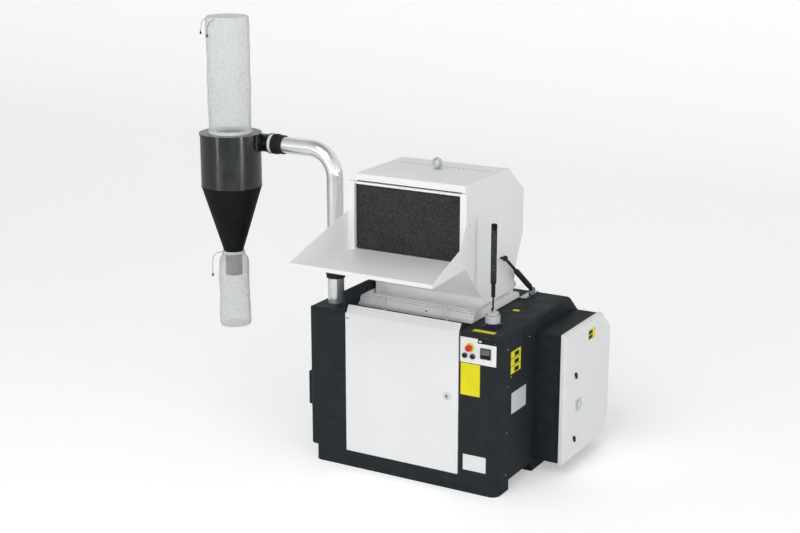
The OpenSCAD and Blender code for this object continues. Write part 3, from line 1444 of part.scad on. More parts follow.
module cabinet_hinges() for (z = cabinet_hinge_zs) {
  difference() {
    union() {
      translate([cabinet_hinge_x, cabinet_hinge_y, z]) cylinder(r = hinge_knuckle_r, h = hinge_len);
      translate([cabinet_hinge_x - hinge_knuckle_r * 2, cabinet_rear_y, z])
        cube([hinge_knuckle_r, hinge_knuckle_r + cabinet_lap, hinge_len]);
      translate([cabinet_hinge_x - hinge_knuckle_r * 2, cabinet_hinge_y - sheet_t, z])
        cube([hinge_knuckle_r * 2, 2 * sheet_t, hinge_len]);
    }
    translate([cabinet_hinge_x, cabinet_hinge_y, z - cut]) cylinder(r = pin_r + run_gap, h = hinge_len + 2 * cut);
  }
}

lock_r = 13;
lock_y = 688;
lock_zs = [657, 219];
isolator_y = 752;
isolator_z = 430;
recess_w = 92;
recess_t = 8;

module cabinet_door_block(inner, x0, x1) {
  yz_plate(x0, x1) polygon(inset(cabinet_pts, inner - cabinet_lap));
}

module cabinet_door() color(white) placed() {
  difference() {
    union() {
      cabinet_door_block(0, cabinet_x + move_gap, cabinet_door_x - recess_t);
      cabinet_door_block(recess_t * 1.5, cabinet_x + recess_t, cabinet_door_x);
    }
    cabinet_door_block(sheet_t, cabinet_x - cut, cabinet_door_x - recess_t - sheet_t);
    for (z = lock_zs) {
      translate([0, lock_y, z]) x_rod(cabinet_x, cabinet_door_x + cut, lock_r + run_gap);
    }
    translate([cabinet_door_x - recess_t / 2, isolator_y - recess_w / 2, isolator_z - recess_w / 2])
      cube([recess_t, recess_w, recess_w]);
    translate([0, isolator_y, isolator_z]) x_rod(cabinet_x, cabinet_door_x + cut, lock_r + run_gap);
  }
  for (z = cabinet_hinge_zs) {
    translate([cabinet_hinge_x, cabinet_hinge_y, z + hinge_len + move_gap]) cylinder(r = hinge_knuckle_r, h = hinge_len);
    translate([cabinet_hinge_x, cabinet_hinge_y, z + sheet_t]) cylinder(r = pin_r, h = hinge_len);
    translate([cabinet_hinge_x, cabinet_hinge_y - sheet_t, z + hinge_len + move_gap])
      cube([cabinet_door_x - cabinet_hinge_x - recess_t * 2, 2 * sheet_t, hinge_len]);
    translate([cabinet_door_x - recess_t * 3, cabinet_rear_y + sheet_t, z + hinge_len + move_gap])
      cube([recess_t, cabinet_hinge_y - cabinet_rear_y, hinge_len]);
  }
}

module side_lock(z) translate([0, lock_y, z]) {
  x_rod(cabinet_x + recess_t, cabinet_door_x + recess_t, lock_r);
  x_rod(cabinet_door_x + recess_t - cut, cabinet_door_x + recess_t * 1.5, lock_r * 0.7);
  translate([cabinet_x + recess_t, -cam_w / 2, -cam_len * 0.7]) cube([cam_t, cam_w, cam_len * 0.7]);
}

module upper_cabinet_lock() color(dark) placed() side_lock(lock_zs[0]);

module lower_cabinet_lock() color(dark) placed() side_lock(lock_zs[1]);

module isolator_knob() color(white) placed() translate([0, isolator_y, isolator_z]) {
  x_rod(cabinet_x + recess_t, cabinet_door_x + recess_t, lock_r);
  x_rod(cabinet_door_x + move_gap, cabinet_door_x + recess_t, lock_r * 2);
  translate([cabinet_door_x + recess_t - cut, -lock_r / 2, -lock_r * 1.8]) cube([recess_t * 2, lock_r, lock_r * 3.6]);
}

base_frame();
left_column_cover();
left_vent_hood();
left_side_panel();
right_column_cover();
rear_cover();
front_door();
door_lock();
door_hinge_pins();
control_plate();
display_unit();
emergency_stop();
start_button();
stop_button();
chamber_body();
bed_knives();
bearing_housings();
chamber_top_frame();
rotor();
rotor_knives();
screen();
granule_pan();
main_motor();
motor_pulley();
drive_belt();
blower_housing();
blower_impeller();
blower_motor();
discharge_pipe();
conveying_pipe();
pipe_couplings();
cyclone_barrel();
cyclone_cone();
cyclone_lid();
collar_rings();
filter_bag();
collection_bag();
upper_cord_tail();
second_cord_tail();
lower_cord_tail();
cord_toggles();
hopper_shell();
hopper_flange();
feed_tray();
feed_curtain();
lifting_eye();
left_hopper_clamp();
right_hopper_clamp();
ram_bracket();
ram_barrel();
ram_rod();
pump_body();
pump_reservoir();
pump_lever();
cabinet_box();
cabinet_back_plate();
cabinet_door();
upper_cabinet_lock();
lower_cabinet_lock();
isolator_knob();
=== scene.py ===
"""Looks of the plastic granulator: finishes, soft bags, cords, small trim, camera and light."""
import json
import logging
import math
from dataclasses import dataclass
from enum import Enum
from typing import Dict, List, Sequence, Tuple

import bmesh
import bpy
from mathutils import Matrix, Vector, noise


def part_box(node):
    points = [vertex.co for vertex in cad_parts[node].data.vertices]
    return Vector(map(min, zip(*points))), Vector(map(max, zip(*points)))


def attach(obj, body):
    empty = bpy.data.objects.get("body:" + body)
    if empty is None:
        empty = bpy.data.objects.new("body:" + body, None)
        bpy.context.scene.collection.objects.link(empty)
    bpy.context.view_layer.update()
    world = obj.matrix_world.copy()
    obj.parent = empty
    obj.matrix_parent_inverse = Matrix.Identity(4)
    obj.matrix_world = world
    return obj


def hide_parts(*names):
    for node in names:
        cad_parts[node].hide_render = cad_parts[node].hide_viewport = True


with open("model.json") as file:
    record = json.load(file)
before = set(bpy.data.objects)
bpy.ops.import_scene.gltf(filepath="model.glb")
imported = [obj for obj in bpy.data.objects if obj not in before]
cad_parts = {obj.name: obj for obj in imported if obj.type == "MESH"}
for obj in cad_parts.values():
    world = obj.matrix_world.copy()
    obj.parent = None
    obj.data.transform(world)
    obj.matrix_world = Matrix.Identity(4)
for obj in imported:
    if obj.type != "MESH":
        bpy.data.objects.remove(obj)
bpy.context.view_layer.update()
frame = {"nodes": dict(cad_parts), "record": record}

LOG = logging.getLogger("granulator")
MM = 0.001
FRONT_Y = -0.630

Colour = Tuple[float, float, float]
Point = Tuple[float, float, float]
WORLD_UP = Vector((0, 0, 1))
TO_FRONT: Point = (0, -1, 0)
TO_RIGHT: Point = (1, 0, 0)


def at(x: float, depth: float, z: float) -> Vector:
    """Turns width, depth behind the front face and height in millimetres into a place in metres.

    Args:
        x: Distance to the right of the centre.
        depth: Distance behind the front face.
        z: Height above the floor.

    Returns:
        The place in the shared frame.
    """
    return Vector((x * MM, FRONT_Y + depth * MM, z * MM))


def linear(code: str) -> Colour:
    """Turns a display colour such as #2b3034 into scene linear values.

    Args:
        code: The colour as a hash and six digits.

    Returns:
        Red, green and blue in scene linear light.
    """
    parts = [int(code[i:i + 2], 16) / 255 for i in (1, 3, 5)]
    return tuple(p / 12.92 if p <= 0.04045 else ((p + 0.055) / 1.055) ** 2.4 for p in parts)


class Body(Enum):
    """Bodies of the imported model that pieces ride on."""

    MACHINE = "machine"
    DOOR = "door"
    DOOR_LOCK = "door_lock_barrel"
    HOPPER = "hopper"
    LEVER = "lever"
    PANEL_DOOR = "panel_door"
    LOCK_UPPER = "panel_lock_upper"
    LOCK_LOWER = "panel_lock_lower"
    ISOLATOR = "isolator"


class Graph:
    """A short way to place and join shader nodes."""

    def __init__(self, tree: bpy.types.NodeTree) -> None:
        """Keeps the tree.

        Args:
            tree: The node tree to write to.
        """
        self.tree = tree

    def add(self, kind: str, **values: object) -> bpy.types.Node:
        """Adds a node and sets its named attributes.

        Args:
            kind: The node's type name.
            values: Attributes to set on the node.

        Returns:
            The new node.
        """
        node = self.tree.nodes.new(kind)
        for name, value in values.items():
            setattr(node, name, value)
        return node

    def join(self, source: bpy.types.NodeSocket, target: bpy.types.NodeSocket) -> None:
        """Joins two sockets.

        Args:
            source: The socket that gives.
            target: The socket that takes.
        """
        self.tree.links.new(source, target)

    def texture(self, kind: str, vector: bpy.types.NodeSocket, **inputs: float) -> bpy.types.Node:
        """Adds a texture node that reads a vector.

        Args:
            kind: The node's type name.
            vector: The coordinates it reads.
            inputs: Values for its input sockets, by name.

        Returns:
            The new node.
        """
        node = self.add(kind)
        self.join(vector, node.inputs["Vector"])
        for name, value in inputs.items():
            node.inputs[name.replace("_", " ")].default_value = value
        return node

    def ramp(self, value: bpy.types.NodeSocket, low: float, high: float, to_low: float = 0.0,
             to_high: float = 1.0) -> bpy.types.NodeSocket:
        """Maps a value between two limits onto two others.

        Args:
            value: The socket to map.
            low: Where the map starts.
            high: Where the map ends.
            to_low: Result at the start.
            to_high: Result at the end.

        Returns:
            The mapped value.
        """
        node = self.add("ShaderNodeMapRange")
        self.join(value, node.inputs["Value"])
        limits = {"From Min": low, "From Max": high, "To Min": to_low, "To Max": to_high}
        for name, number in limits.items():
            node.inputs[name].default_value = number
        return node.outputs["Result"]

    def bump(self, shader: bpy.types.Node, height: bpy.types.NodeSocket, strength: float,
             distance: float) -> None:
        """Feeds a height into a shader's normal.

        Args:
            shader: The Principled shader.
            height: The height to use.
            strength: Strength of the bump.
            distance: Height of the bump in metres.
        """
        bump = self.add("ShaderNodeBump")
        bump.inputs["Strength"].default_value = strength
        bump.inputs["Distance"].default_value = distance
        self.join(height, bump.inputs["Height"])
        self.join(bump.outputs["Normal"], shader.inputs["Normal"])

    def blend(self, mask: bpy.types.NodeSocket, first: object, second: object) -> bpy.types.NodeSocket:
        """Blends two colours by a mask.

        Args:
            mask: Zero for the first colour, one for the second.
            first: A colour or a colour socket.
            second: A colour or a colour socket.

        Returns:
            The blended colour.
        """
        node = self.add("ShaderNodeMix", data_type="RGBA")
        self.join(mask, node.inputs[0])
        for index, colour in ((6, first), (7, second)):
            if isinstance(colour, bpy.types.NodeSocket):
                self.join(colour, node.inputs[index])
            else:
                node.inputs[index].default_value = (*colour, 1.0)
        return node.outputs[2]


def new_material(name: str) -> Tuple[bpy.types.Material, Graph, bpy.types.Node, bpy.types.NodeSocket]:
    """Starts a material with a Principled shader.

    Args:
        name: The material's name.

    Returns:
        The material, its graph, the shader and the object coordinates.
    """
    material = bpy.data.materials.new(name)
    material.use_nodes = True
    graph = Graph(material.node_tree)
    shader = material.node_tree.nodes["Principled BSDF"]
    place = graph.add("ShaderNodeTexCoord").outputs["Object"]
    return material, graph, shader, place


def new_object(name: str, data: bpy.types.ID) -> bpy.types.Object:
    """Puts a mesh, a lamp or a camera into the scene.

    Args:
        name: The object's name.
        data: What it shows.

    Returns:
        The new object.
    """
    obj = bpy.data.objects.new(name, data)
    bpy.context.scene.collection.objects.link(obj)
    return obj


def sprayed_grain() -> bpy.types.NodeTree:
    """Makes the group that the sprayed finishes share: soft clouds in the colour and a fine grain.

    Returns:
        The group.
    """
    tree = bpy.data.node_groups.new("sprayed_grain", "ShaderNodeTree")
    sockets = {"INPUT": (("Vector", "Vector"), ("Light", "Color"), ("Dark", "Color"),
                         ("Cloud Scale", "Float"), ("Grain Scale", "Float")),
               "OUTPUT": (("Colour", "Color"), ("Cloud", "Float"), ("Height", "Float"))}
    for side, pairs in sockets.items():
        for label, kind in pairs:
            tree.interface.new_socket(name=label, in_out=side, socket_type=f"NodeSocket{kind}")
    graph = Graph(tree)
    start, end = graph.add("NodeGroupInput"), graph.add("NodeGroupOutput")
    cloud = graph.texture("ShaderNodeTexNoise", start.outputs["Vector"], Detail=5.0, Roughness=0.62)
    grain = graph.texture("ShaderNodeTexNoise", start.outputs["Vector"], Detail=2.0, Roughness=0.5)
    graph.join(start.outputs["Cloud Scale"], cloud.inputs["Scale"])
    graph.join(start.outputs["Grain Scale"], grain.inputs["Scale"])
    mask = graph.ramp(cloud.outputs["Fac"], 0.36, 0.66)
    graph.join(graph.blend(mask, start.outputs["Light"], start.outputs["Dark"]), end.inputs["Colour"])
    graph.join(mask, end.inputs["Cloud"])
    graph.join(grain.outputs["Fac"], end.inputs["Height"])
    return tree


GRAIN = sprayed_grain()


@dataclass(frozen=True)
class Finish:
    """What every finish has: a name and a way to make its material."""

    name: str

    def build(self) -> bpy.types.Material:
        """Makes the material.

        Returns:
            The new material.
        """
        raise NotImplementedError


@dataclass(frozen=True)
class SprayedCoat(Finish):
    """Paint with soft clouds and a fine grain."""

    light: str
    dark: str
    low: float
    high: float
    cloud_scale: float
    grain_scale: float
    bump: float
    metallic: float = 0.0
    coat: float = 0.0
    specular: float = 0.5
    stretch: Point = (1.0, 1.0, 1.0)

    def build(self) -> bpy.types.Material:
        """Makes the coat.

        Returns:
            The new material.
        """
        material, graph, shader, place = new_material(self.name)
        group = graph.add("ShaderNodeGroup", node_tree=GRAIN)
        mapping = graph.add("ShaderNodeMapping")
        mapping.inputs["Scale"].default_value = self.stretch
        graph.join(place, mapping.inputs["Vector"])
        graph.join(mapping.outputs["Vector"], group.inputs["Vector"])
        group.inputs["Light"].default_value = (*linear(self.light), 1)
        group.inputs["Dark"].default_value = (*linear(self.dark), 1)
        group.inputs["Cloud Scale"].default_value = self.cloud_scale
        group.inputs["Grain Scale"].default_value = self.grain_scale
        graph.join(group.outputs["Colour"], shader.inputs["Base Color"])
        rough = graph.ramp(group.outputs["Cloud"], 0.0, 1.0, self.low, self.high)
        graph.join(rough, shader.inputs["Roughness"])
        shader.inputs["Metallic"].default_value = self.metallic
        shader.inputs["Coat Weight"].default_value = self.coat
        shader.inputs["Coat Roughness"].default_value = 0.25
        shader.inputs["Specular IOR Level"].default_value = self.specular
        graph.bump(shader, group.outputs["Height"], self.bump, 0.0006)
        return material


@dataclass(frozen=True)
class DrawnMetal(Finish):
    """Bare metal with fine lines along one direction."""

    colour: str
    shade: str
    low: float
    high: float
    stretch: Point
    bump: float = 0.08
    metallic: float = 1.0

    def build(self) -> bpy.types.Material:
        """Makes the metal.

        Returns:
            The new material.
        """
        material, graph, shader, place = new_material(self.name)
        mapping = graph.add("ShaderNodeMapping")
        mapping.inputs["Scale"].default_value = self.stretch
        graph.join(place, mapping.inputs["Vector"])
        lines = graph.texture("ShaderNodeTexNoise", mapping.outputs["Vector"], Scale=12.0, Detail=4.0)
        smudge = graph.texture("ShaderNodeTexNoise", place, Scale=6.0, Detail=3.0)
        mask = graph.ramp(smudge.outputs["Fac"], 0.35, 0.7)
        graph.join(graph.blend(mask, linear(self.colour), linear(self.shade)), shader.inputs["Base Color"])
        rough = graph.ramp(lines.outputs["Fac"], 0.3, 0.7, self.low, self.high)
        graph.join(rough, shader.inputs["Roughness"])
        shader.inputs["Metallic"].default_value = self.metallic
        graph.bump(shader, lines.outputs["Fac"], self.bump, 0.0003)
        return material


@dataclass(frozen=True)
class RubberSpecksAndGlints(Finish):
    """Dark rubber with light specks, real specks on the curtain and painted highlights on the grip."""

    base: str
    speck_and_glint: str
    scale: float
    low: float
    high: float
    shade: str = "#303132"

    def build(self) -> bpy.types.Material:
        """Makes the rubber.

        Returns:
            The new material.
        """
        material, graph, shader, place = new_material(self.name)
        fine = graph.texture("ShaderNodeTexNoise", place, Scale=self.scale, Detail=3.0, Roughness=0.7)
        cloud = graph.texture("ShaderNodeTexNoise", place, Scale=7.0, Detail=3.0)
        mask = graph.ramp(fine.outputs["Fac"], self.low, self.high)
        tone = graph.blend(graph.ramp(cloud.outputs["Fac"], 0.3, 0.7), linear(self.base), linear(self.shade))
        shader.inputs["Specular IOR Level"].default_value = 0.2
        graph.join(graph.blend(mask, tone, linear(self.speck_and_glint)), shader.inputs["Base Color"])
        graph.join(graph.ramp(fine.outputs["Fac"], 0.3, 0.7, 0.75, 0.5), shader.inputs["Roughness"])
        graph.bump(shader, fine.outputs["Fac"], 0.5, 0.001)
        return material


@dataclass(frozen=True)
class BagCloth(Finish):
    """Thin translucent filter cloth."""

    light: str = "#dcdede"
    dark: str = "#d3d6d7"
    thin: float = 0.19
    thick: float = 0.34

    def build(self) -> bpy.types.Material:
        """Makes the cloth.

        Returns:
            The new material.
        """
        material, graph, shader, place = new_material(self.name)
        cloud = graph.texture("ShaderNodeTexNoise", place, Scale=9.0, Detail=4.0)
        crumple = graph.texture("ShaderNodeTexNoise", place, Scale=70.0, Detail=6.0, Roughness=0.7)
        mask = graph.ramp(cloud.outputs["Fac"], 0.35, 0.65)
        graph.join(graph.blend(mask, linear(self.light), linear(self.dark)), shader.inputs["Base Color"])
        rim = graph.add("ShaderNodeLayerWeight")
        rim.inputs["Blend"].default_value = 0.35
        dense = graph.ramp(rim.outputs["Facing"], 0.35, 1.0, 0.0, 0.5)
        grain = graph.ramp(crumple.outputs["Fac"], 0.3, 0.7, self.thin, self.thick)
        total = graph.add("ShaderNodeMath", operation="ADD", use_clamp=True)
        graph.join(dense, total.inputs[0])
        graph.join(grain, total.inputs[1])
        graph.join(total.outputs[0], shader.inputs["Alpha"])
        shader.inputs["Roughness"].default_value = 0.85
        shader.inputs["Specular IOR Level"].default_value = 0.1
        graph.bump(shader, crumple.outputs["Fac"], 0.6, 0.003)
        return material


@dataclass(frozen=True)
class ClearPlastic(Finish):
    """Milky plastic of the pump's small tank."""

    light: str = "#e4e6e8"
    dark: str = "#c9ccd0"

    def build(self) -> bpy.types.Material:
        """Makes the plastic.

        Returns:
            The new material.
        """
        material, graph, shader, place = new_material(self.name)
        cloud = graph.texture("ShaderNodeTexNoise", place, Scale=30.0, Detail=3.0)
        mask = graph.ramp(cloud.outputs["Fac"], 0.3, 0.7)
        graph.join(graph.blend(mask, linear(self.light), linear(self.dark)), shader.inputs["Base Color"])
        graph.join(graph.ramp(cloud.outputs["Fac"], 0.3, 0.7, 0.78, 0.9), shader.inputs["Alpha"])
        shader.inputs["Roughness"].default_value = 0.3
        return material


FINISHES: Dict[str, Finish] = {finish.name: finish for finish in (
    SprayedCoat("white_coat", "#f2f2f3", "#eeefef", 0.4, 0.52, 2.0, 420.0, 0.12, specular=0.3),
    SprayedCoat("black_coat", "#23282c", "#2b3034", 0.5, 0.7, 11.0, 230.0, 0.6, specular=0.14),
    SprayedCoat("satin_black", "#0c1011", "#1a2021", 0.10, 0.27, 22.0, 150.0, 0.8, specular=0.85,
                stretch=(1.0, 1.0, 0.35)),
    SprayedCoat("dark_black", "#0f1214", "#171a1d", 0.5, 0.65, 8.0, 200.0, 0.35, specular=0.12),
    SprayedCoat("cast_black", "#1d2022", "#282c2e", 0.5, 0.7, 14.0, 160.0, 0.8, specular=0.2),
    SprayedCoat("blue_coat", "#365a7c", "#2f4f6d", 0.35, 0.5, 5.0, 240.0, 0.3),
    SprayedCoat("orange_coat", "#d08a2a", "#c57f22", 0.35, 0.5, 5.0, 240.0, 0.2),
    SprayedCoat("black_plastic", "#121415", "#1b1e20", 0.35, 0.5, 12.0, 500.0, 0.3, specular=0.3),
    SprayedCoat("grip_rubber", "#141617", "#202324", 0.5, 0.7, 30.0, 700.0, 0.6, specular=0.2),
    SprayedCoat("red_plastic", "#cf1f26", "#c01b22", 0.25, 0.35, 10.0, 300.0, 0.05, coat=0.3, specular=0.3),
    SprayedCoat("white_plastic", "#e8eaea", "#dcdfe0", 0.3, 0.42, 10.0, 300.0, 0.08),
    SprayedCoat("blue_plastic", "#2f2c57", "#252249", 0.3, 0.45, 12.0, 300.0, 0.08, specular=0.25),
    SprayedCoat("yellow_plate", "#efe42a", "#e8dc22", 0.4, 0.5, 6.0, 400.0, 0.05, specular=0.15),
    SprayedCoat("grey_plate", "#dde1e3", "#d3d8db", 0.35, 0.5, 6.0, 400.0, 0.05, metallic=0.2, specular=0.3),
    SprayedCoat("white_plate", "#eeefef", "#e8eaea", 0.4, 0.5, 6.0, 400.0, 0.05, specular=0.2),
    SprayedCoat("dark_glass", "#0d0f11", "#14171a", 0.12, 0.2, 4.0, 200.0, 0.0, specular=0.3),
    SprayedCoat("meter_grey", "#6b7072", "#5c6163", 0.2, 0.3, 4.0, 200.0, 0.0, specular=0.3),
    SprayedCoat("rubber_black", "#17191a", "#202324", 0.5, 0.7, 20.0, 320.0, 0.4, specular=0.2),
    DrawnMetal("bright_steel", "#c6cacc", "#a4a8ab", 0.2, 0.42, (6.0, 6.0, 1.0)),
    DrawnMetal("machined_steel", "#9a9ea1", "#75797c", 0.2, 0.45, (1.0, 14.0, 14.0)),
    DrawnMetal("polished_steel", "#f6f7f8", "#eceeef", 0.08, 0.16, (1.5, 1.5, 1.0), 0.03, 0.72),
    RubberSpecksAndGlints("rubber_curtain", "#252627", "#4c4e50", 150.0, 0.5, 0.7),
    # Light specks on the grip are painted highlights, standing for the glints of its knurl.
    RubberSpecksAndGlints("grip_painted_highlights", "#17191a", "#6c7274", 210.0, 0.5, 0.6),
    BagCloth("bag_cloth"),
    SprayedCoat("cord_cloth", "#3b3f41", "#2c3032", 0.7, 0.85, 60.0, 900.0, 0.8, specular=0.15),
    ClearPlastic("milky_plastic"),
)}


class FinishBook:
    """Makes each finish once and hands it out by name."""

    def __init__(self) -> None:
        """Starts with no material made."""
        self.made: Dict[str, bpy.types.Material] = {}

    def get(self, name: str) -> bpy.types.Material:
        """Returns a finish's material, made on first use.

        Args:
            name: The finish's name.

        Returns:
            The material.
        """
        if name not in self.made:
            self.made[name] = FINISHES[name].build()
        return self.made[name]


BOOK = FinishBook()
NODE_FINISH = {"pump_reservoir": "milky_plastic", "pump_lever": "grip_rubber"}


def dress_nodes() -> None:
    """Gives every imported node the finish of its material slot."""
    slots = {part["node"]: part["material_slot"] for part in frame["record"]["subparts"]}
    for name, obj in frame["nodes"].items():
        obj.data.materials.clear()
        obj.data.materials.append(BOOK.get(NODE_FINISH.get(name, slots[name])))
        LOG.info("node %s has %s", name, slots[name])


class Shape:
    """A mesh under construction, kept in metres in the shared frame."""

    def __init__(self) -> None:
        """Starts an empty mesh."""
        self.bm = bmesh.new()

    def block(self, low: Vector, high: Vector, bevel: float = 0.0, segments: int = 2) -> "Shape":
        """Adds a box between two corners, with its edges rounded.

        Args:
            low: The lowest corner.
            high: The highest corner.
            bevel: Width of the rounding.
            segments: Steps of the rounding.

        Returns:
            This shape.
        """
        made = bmesh.ops.create_cube(self.bm, size=1.0)["verts"]
        size = high - low
        bmesh.ops.scale(self.bm, verts=made, vec=size)
        bmesh.ops.translate(self.bm, verts=made, vec=(low + high) / 2)
        if bevel > 0:
            edges = list({edge for vert in made for edge in vert.link_edges})
            bmesh.ops.bevel(self.bm, geom=edges, offset=bevel, segments=segments, profile=0.5, affect="EDGES",
                            material=-1)
        return self

    def turned(self, profile: Sequence[Tuple[float, float]], centre: Vector, axis: Vector,
               steps: int = 32) -> "Shape":
        """Adds a shape turned round an axis from a profile of radius and height.

        Args:
            profile: Pairs of radius and height along the axis, from end to end.
            centre: Where the height is zero.
            axis: Direction of the axis.
            steps: Steps of the full turn.

        Returns:
            This shape.
        """
        axis = axis.normalized()
        side = axis.orthogonal().normalized()
        verts = [self.bm.verts.new(centre + side * radius + axis * height) for radius, height in profile]
        edges = [self.bm.edges.new(pair) for pair in zip(verts, verts[1:])]
        before = set(self.bm.verts) - set(verts)
        bmesh.ops.spin(self.bm, geom=verts + edges, cent=centre, axis=axis, angle=2 * math.pi, steps=steps,
                       use_merge=True)
        fresh = [vert for vert in self.bm.verts if vert not in before]
        bmesh.ops.remove_doubles(self.bm, verts=fresh, dist=1e-6)
        return self

    def skin(self, rings: Sequence[Sequence[bmesh.types.BMVert]]) -> None:
        """Joins each ring of points to the next with four sided faces.

        Args:
            rings: The rings, all with the same number of points.
        """
        for one, two in zip(rings, rings[1:]):
            for step in range(len(one)):
                after = (step + 1) % len(one)
                self.bm.faces.new((one[step], one[after], two[after], two[step]))

    def finish(self, name: str, finish: str, body: Body, smooth: bool = True) -> bpy.types.Object:
        """Turns the mesh into a piece that rides on a body.

        Args:
            name: The piece's name.
            finish: The finish's name.
            body: The body it rides on.
            smooth: Whether its faces are shaded smooth.

        Returns:
            The new object.
        """
        bmesh.ops.recalc_face_normals(self.bm, faces=self.bm.faces)
        mesh = bpy.data.meshes.new(name)
        self.bm.to_mesh(mesh)
        self.bm.free()
        mesh.materials.append(BOOK.get(finish))
        obj = new_object(name, mesh)
        if smooth:
            mesh.polygons.foreach_set("use_smooth", [True] * len(mesh.polygons))
            mesh.set_sharp_from_angle(angle=math.radians(35))
        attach(obj, body.value)
        LOG.info("piece %s rides on %s", name, body.value)
        return obj


class PlateShape(Shape):
    """Flat pieces with rounded corners on a face of the machine."""

    def plate(self, centre: Vector, across: Vector, up: Vector, width: float, height: float, thick: float,
              corner: float, steps: int = 5) -> "PlateShape":
        """Adds a plate that stands on a face.

        Args:
            centre: Middle of the plate's back, on the face.
            across: Direction of the width.
            up: Direction of the height.
            width: Width in metres.
            height: Height in metres.
            thick: Thickness in metres, outwards from the face.
            corner: Radius of the corners.
            steps: Steps of each corner.

        Returns:
            This shape.
        """
        out = across.cross(up).normalized()
        verts = []
        for index, (sx, sy) in enumerate(((1, 1), (-1, 1), (-1, -1), (1, -1))):
            middle = centre + across * sx * (width / 2 - corner) + up * sy * (height / 2 - corner)
            for step in range(steps + 1):
                angle = math.pi / 2 * (index + step / steps)
                spoke = across * math.cos(angle) + up * math.sin(angle)
                verts.append(self.bm.verts.new(middle + spoke * corner))
        face = self.bm.faces.new(verts)
        made = bmesh.ops.extrude_face_region(self.bm, geom=[face])["geom"]
        raised = [item for item in made if isinstance(item, bmesh.types.BMVert)]
        bmesh.ops.translate(self.bm, verts=raised, vec=out * thick)
        return self


FRONT = (Vector((1, 0, 0)), Vector((0, 0, 1)))
SIDE = (Vector((0, 1, 0)), Vector((0, 0, 1)))
TOP = (Vector((1, 0, 0)), Vector((0, 1, 0)))


@dataclass(frozen=True)
class PlateSpec:
    """A bare plate on one face, in millimetres."""

    name: str
    finish: str
    face: Tuple[Vector, Vector]
    centre: Point
    width: float
    height: float
    thick: float = 0.8
    corner: float = 3.0
    body: Body = Body.MACHINE

    def build(self) -> bpy.types.Object:
        """Makes the plate.

        Returns:
            The new object.
        """
        shape = PlateShape()
        shape.plate(at(*self.centre), *self.face, self.width * MM, self.height * MM, self.thick * MM,
                    self.corner * MM)
        return shape.finish(self.name, self.finish, self.body, smooth=False)


@dataclass(frozen=True)
class ScrewSpec:
    """A round headed screw on a face, in millimetres."""

    centre: Point
    out: Point
    radius: float
    height: float


@dataclass(frozen=True)
class Fasteners:
    """Small round headed screws made as one piece."""

    name: str
    finish: str
    body: Body
    screws: Sequence[ScrewSpec]

    def build(self) -> bpy.types.Object:
        """Makes the screws as one piece.

        Returns:
            The new object.
        """
        shape = Shape()
        for screw in self.screws:
            r, h = screw.radius * MM, screw.height * MM
            socket = r * 0.42
            profile = [(0.0, h * 0.45), (socket, h * 0.45), (socket, h * 0.92), (r * 0.62, h),
                       (r * 0.9, h * 0.62), (r, h * 0.2), (r, 0.0), (0.0, 0.0)]
            shape.turned(profile, at(*screw.centre), Vector(screw.out), 16)
        return shape.finish(self.name, self.finish, self.body)


WASHER_THICK = 0.0012
WASHER_SHARE = 1.35


def hex_heads(name: str, finish: str, body: Body, spots: Sequence[Tuple[Point, Point]], radius: float,
              height: float) -> bpy.types.Object:
    """Makes hexagon bolt heads with washers as one piece.

    Args:
        name: The piece's name.
        finish: Its finish.
        body: The body it rides on.
        spots: Place and outward direction of each bolt.
        radius: Corner radius of the heads in millimetres.
        height: Height of the heads in millimetres.

    Returns:
        The new object.
    """
    shape = Shape()
    for centre, out in spots:
        axis = Vector(out).normalized()
        middle = at(*centre)
        washer = radius * WASHER_SHARE * MM
        disc = [(0.0, 0.0), (washer, 0.0), (washer, WASHER_THICK), (0.0, WASHER_THICK)]
        shape.turned(disc, middle, axis, 24)
        shape.turned([(0.0, WASHER_THICK), (radius * MM, WASHER_THICK), (radius * MM, height * 0.85 * MM),
                      (radius * 0.86 * MM, height * MM), (0.0, height * MM)], middle, axis, 6)
    return shape.finish(name, finish, body, smooth=False)


@dataclass(frozen=True)
class RingSpec:
    """A ring that stands out of the control plate, in millimetres."""

    name: str
    finish: str
    centre: Point
    inner: float
    outer: float
    depth: float

    def build(self) -> bpy.types.Object:
        """Makes the ring.

        Returns:
            The new object.
        """
        inner, outer, depth = self.inner, self.outer, self.depth
        rim = min(0.5, depth * 0.3)
        profile = [(inner, 0.0), (inner, depth), (outer - rim, depth), (outer, depth - rim), (outer, 0.0),
                   (inner, 0.0)]
        shape = Shape()
        shape.turned([(r * MM, h * MM) for r, h in profile], at(*self.centre), Vector(TO_FRONT), 48)
        return shape.finish(self.name, self.finish, Body.MACHINE)


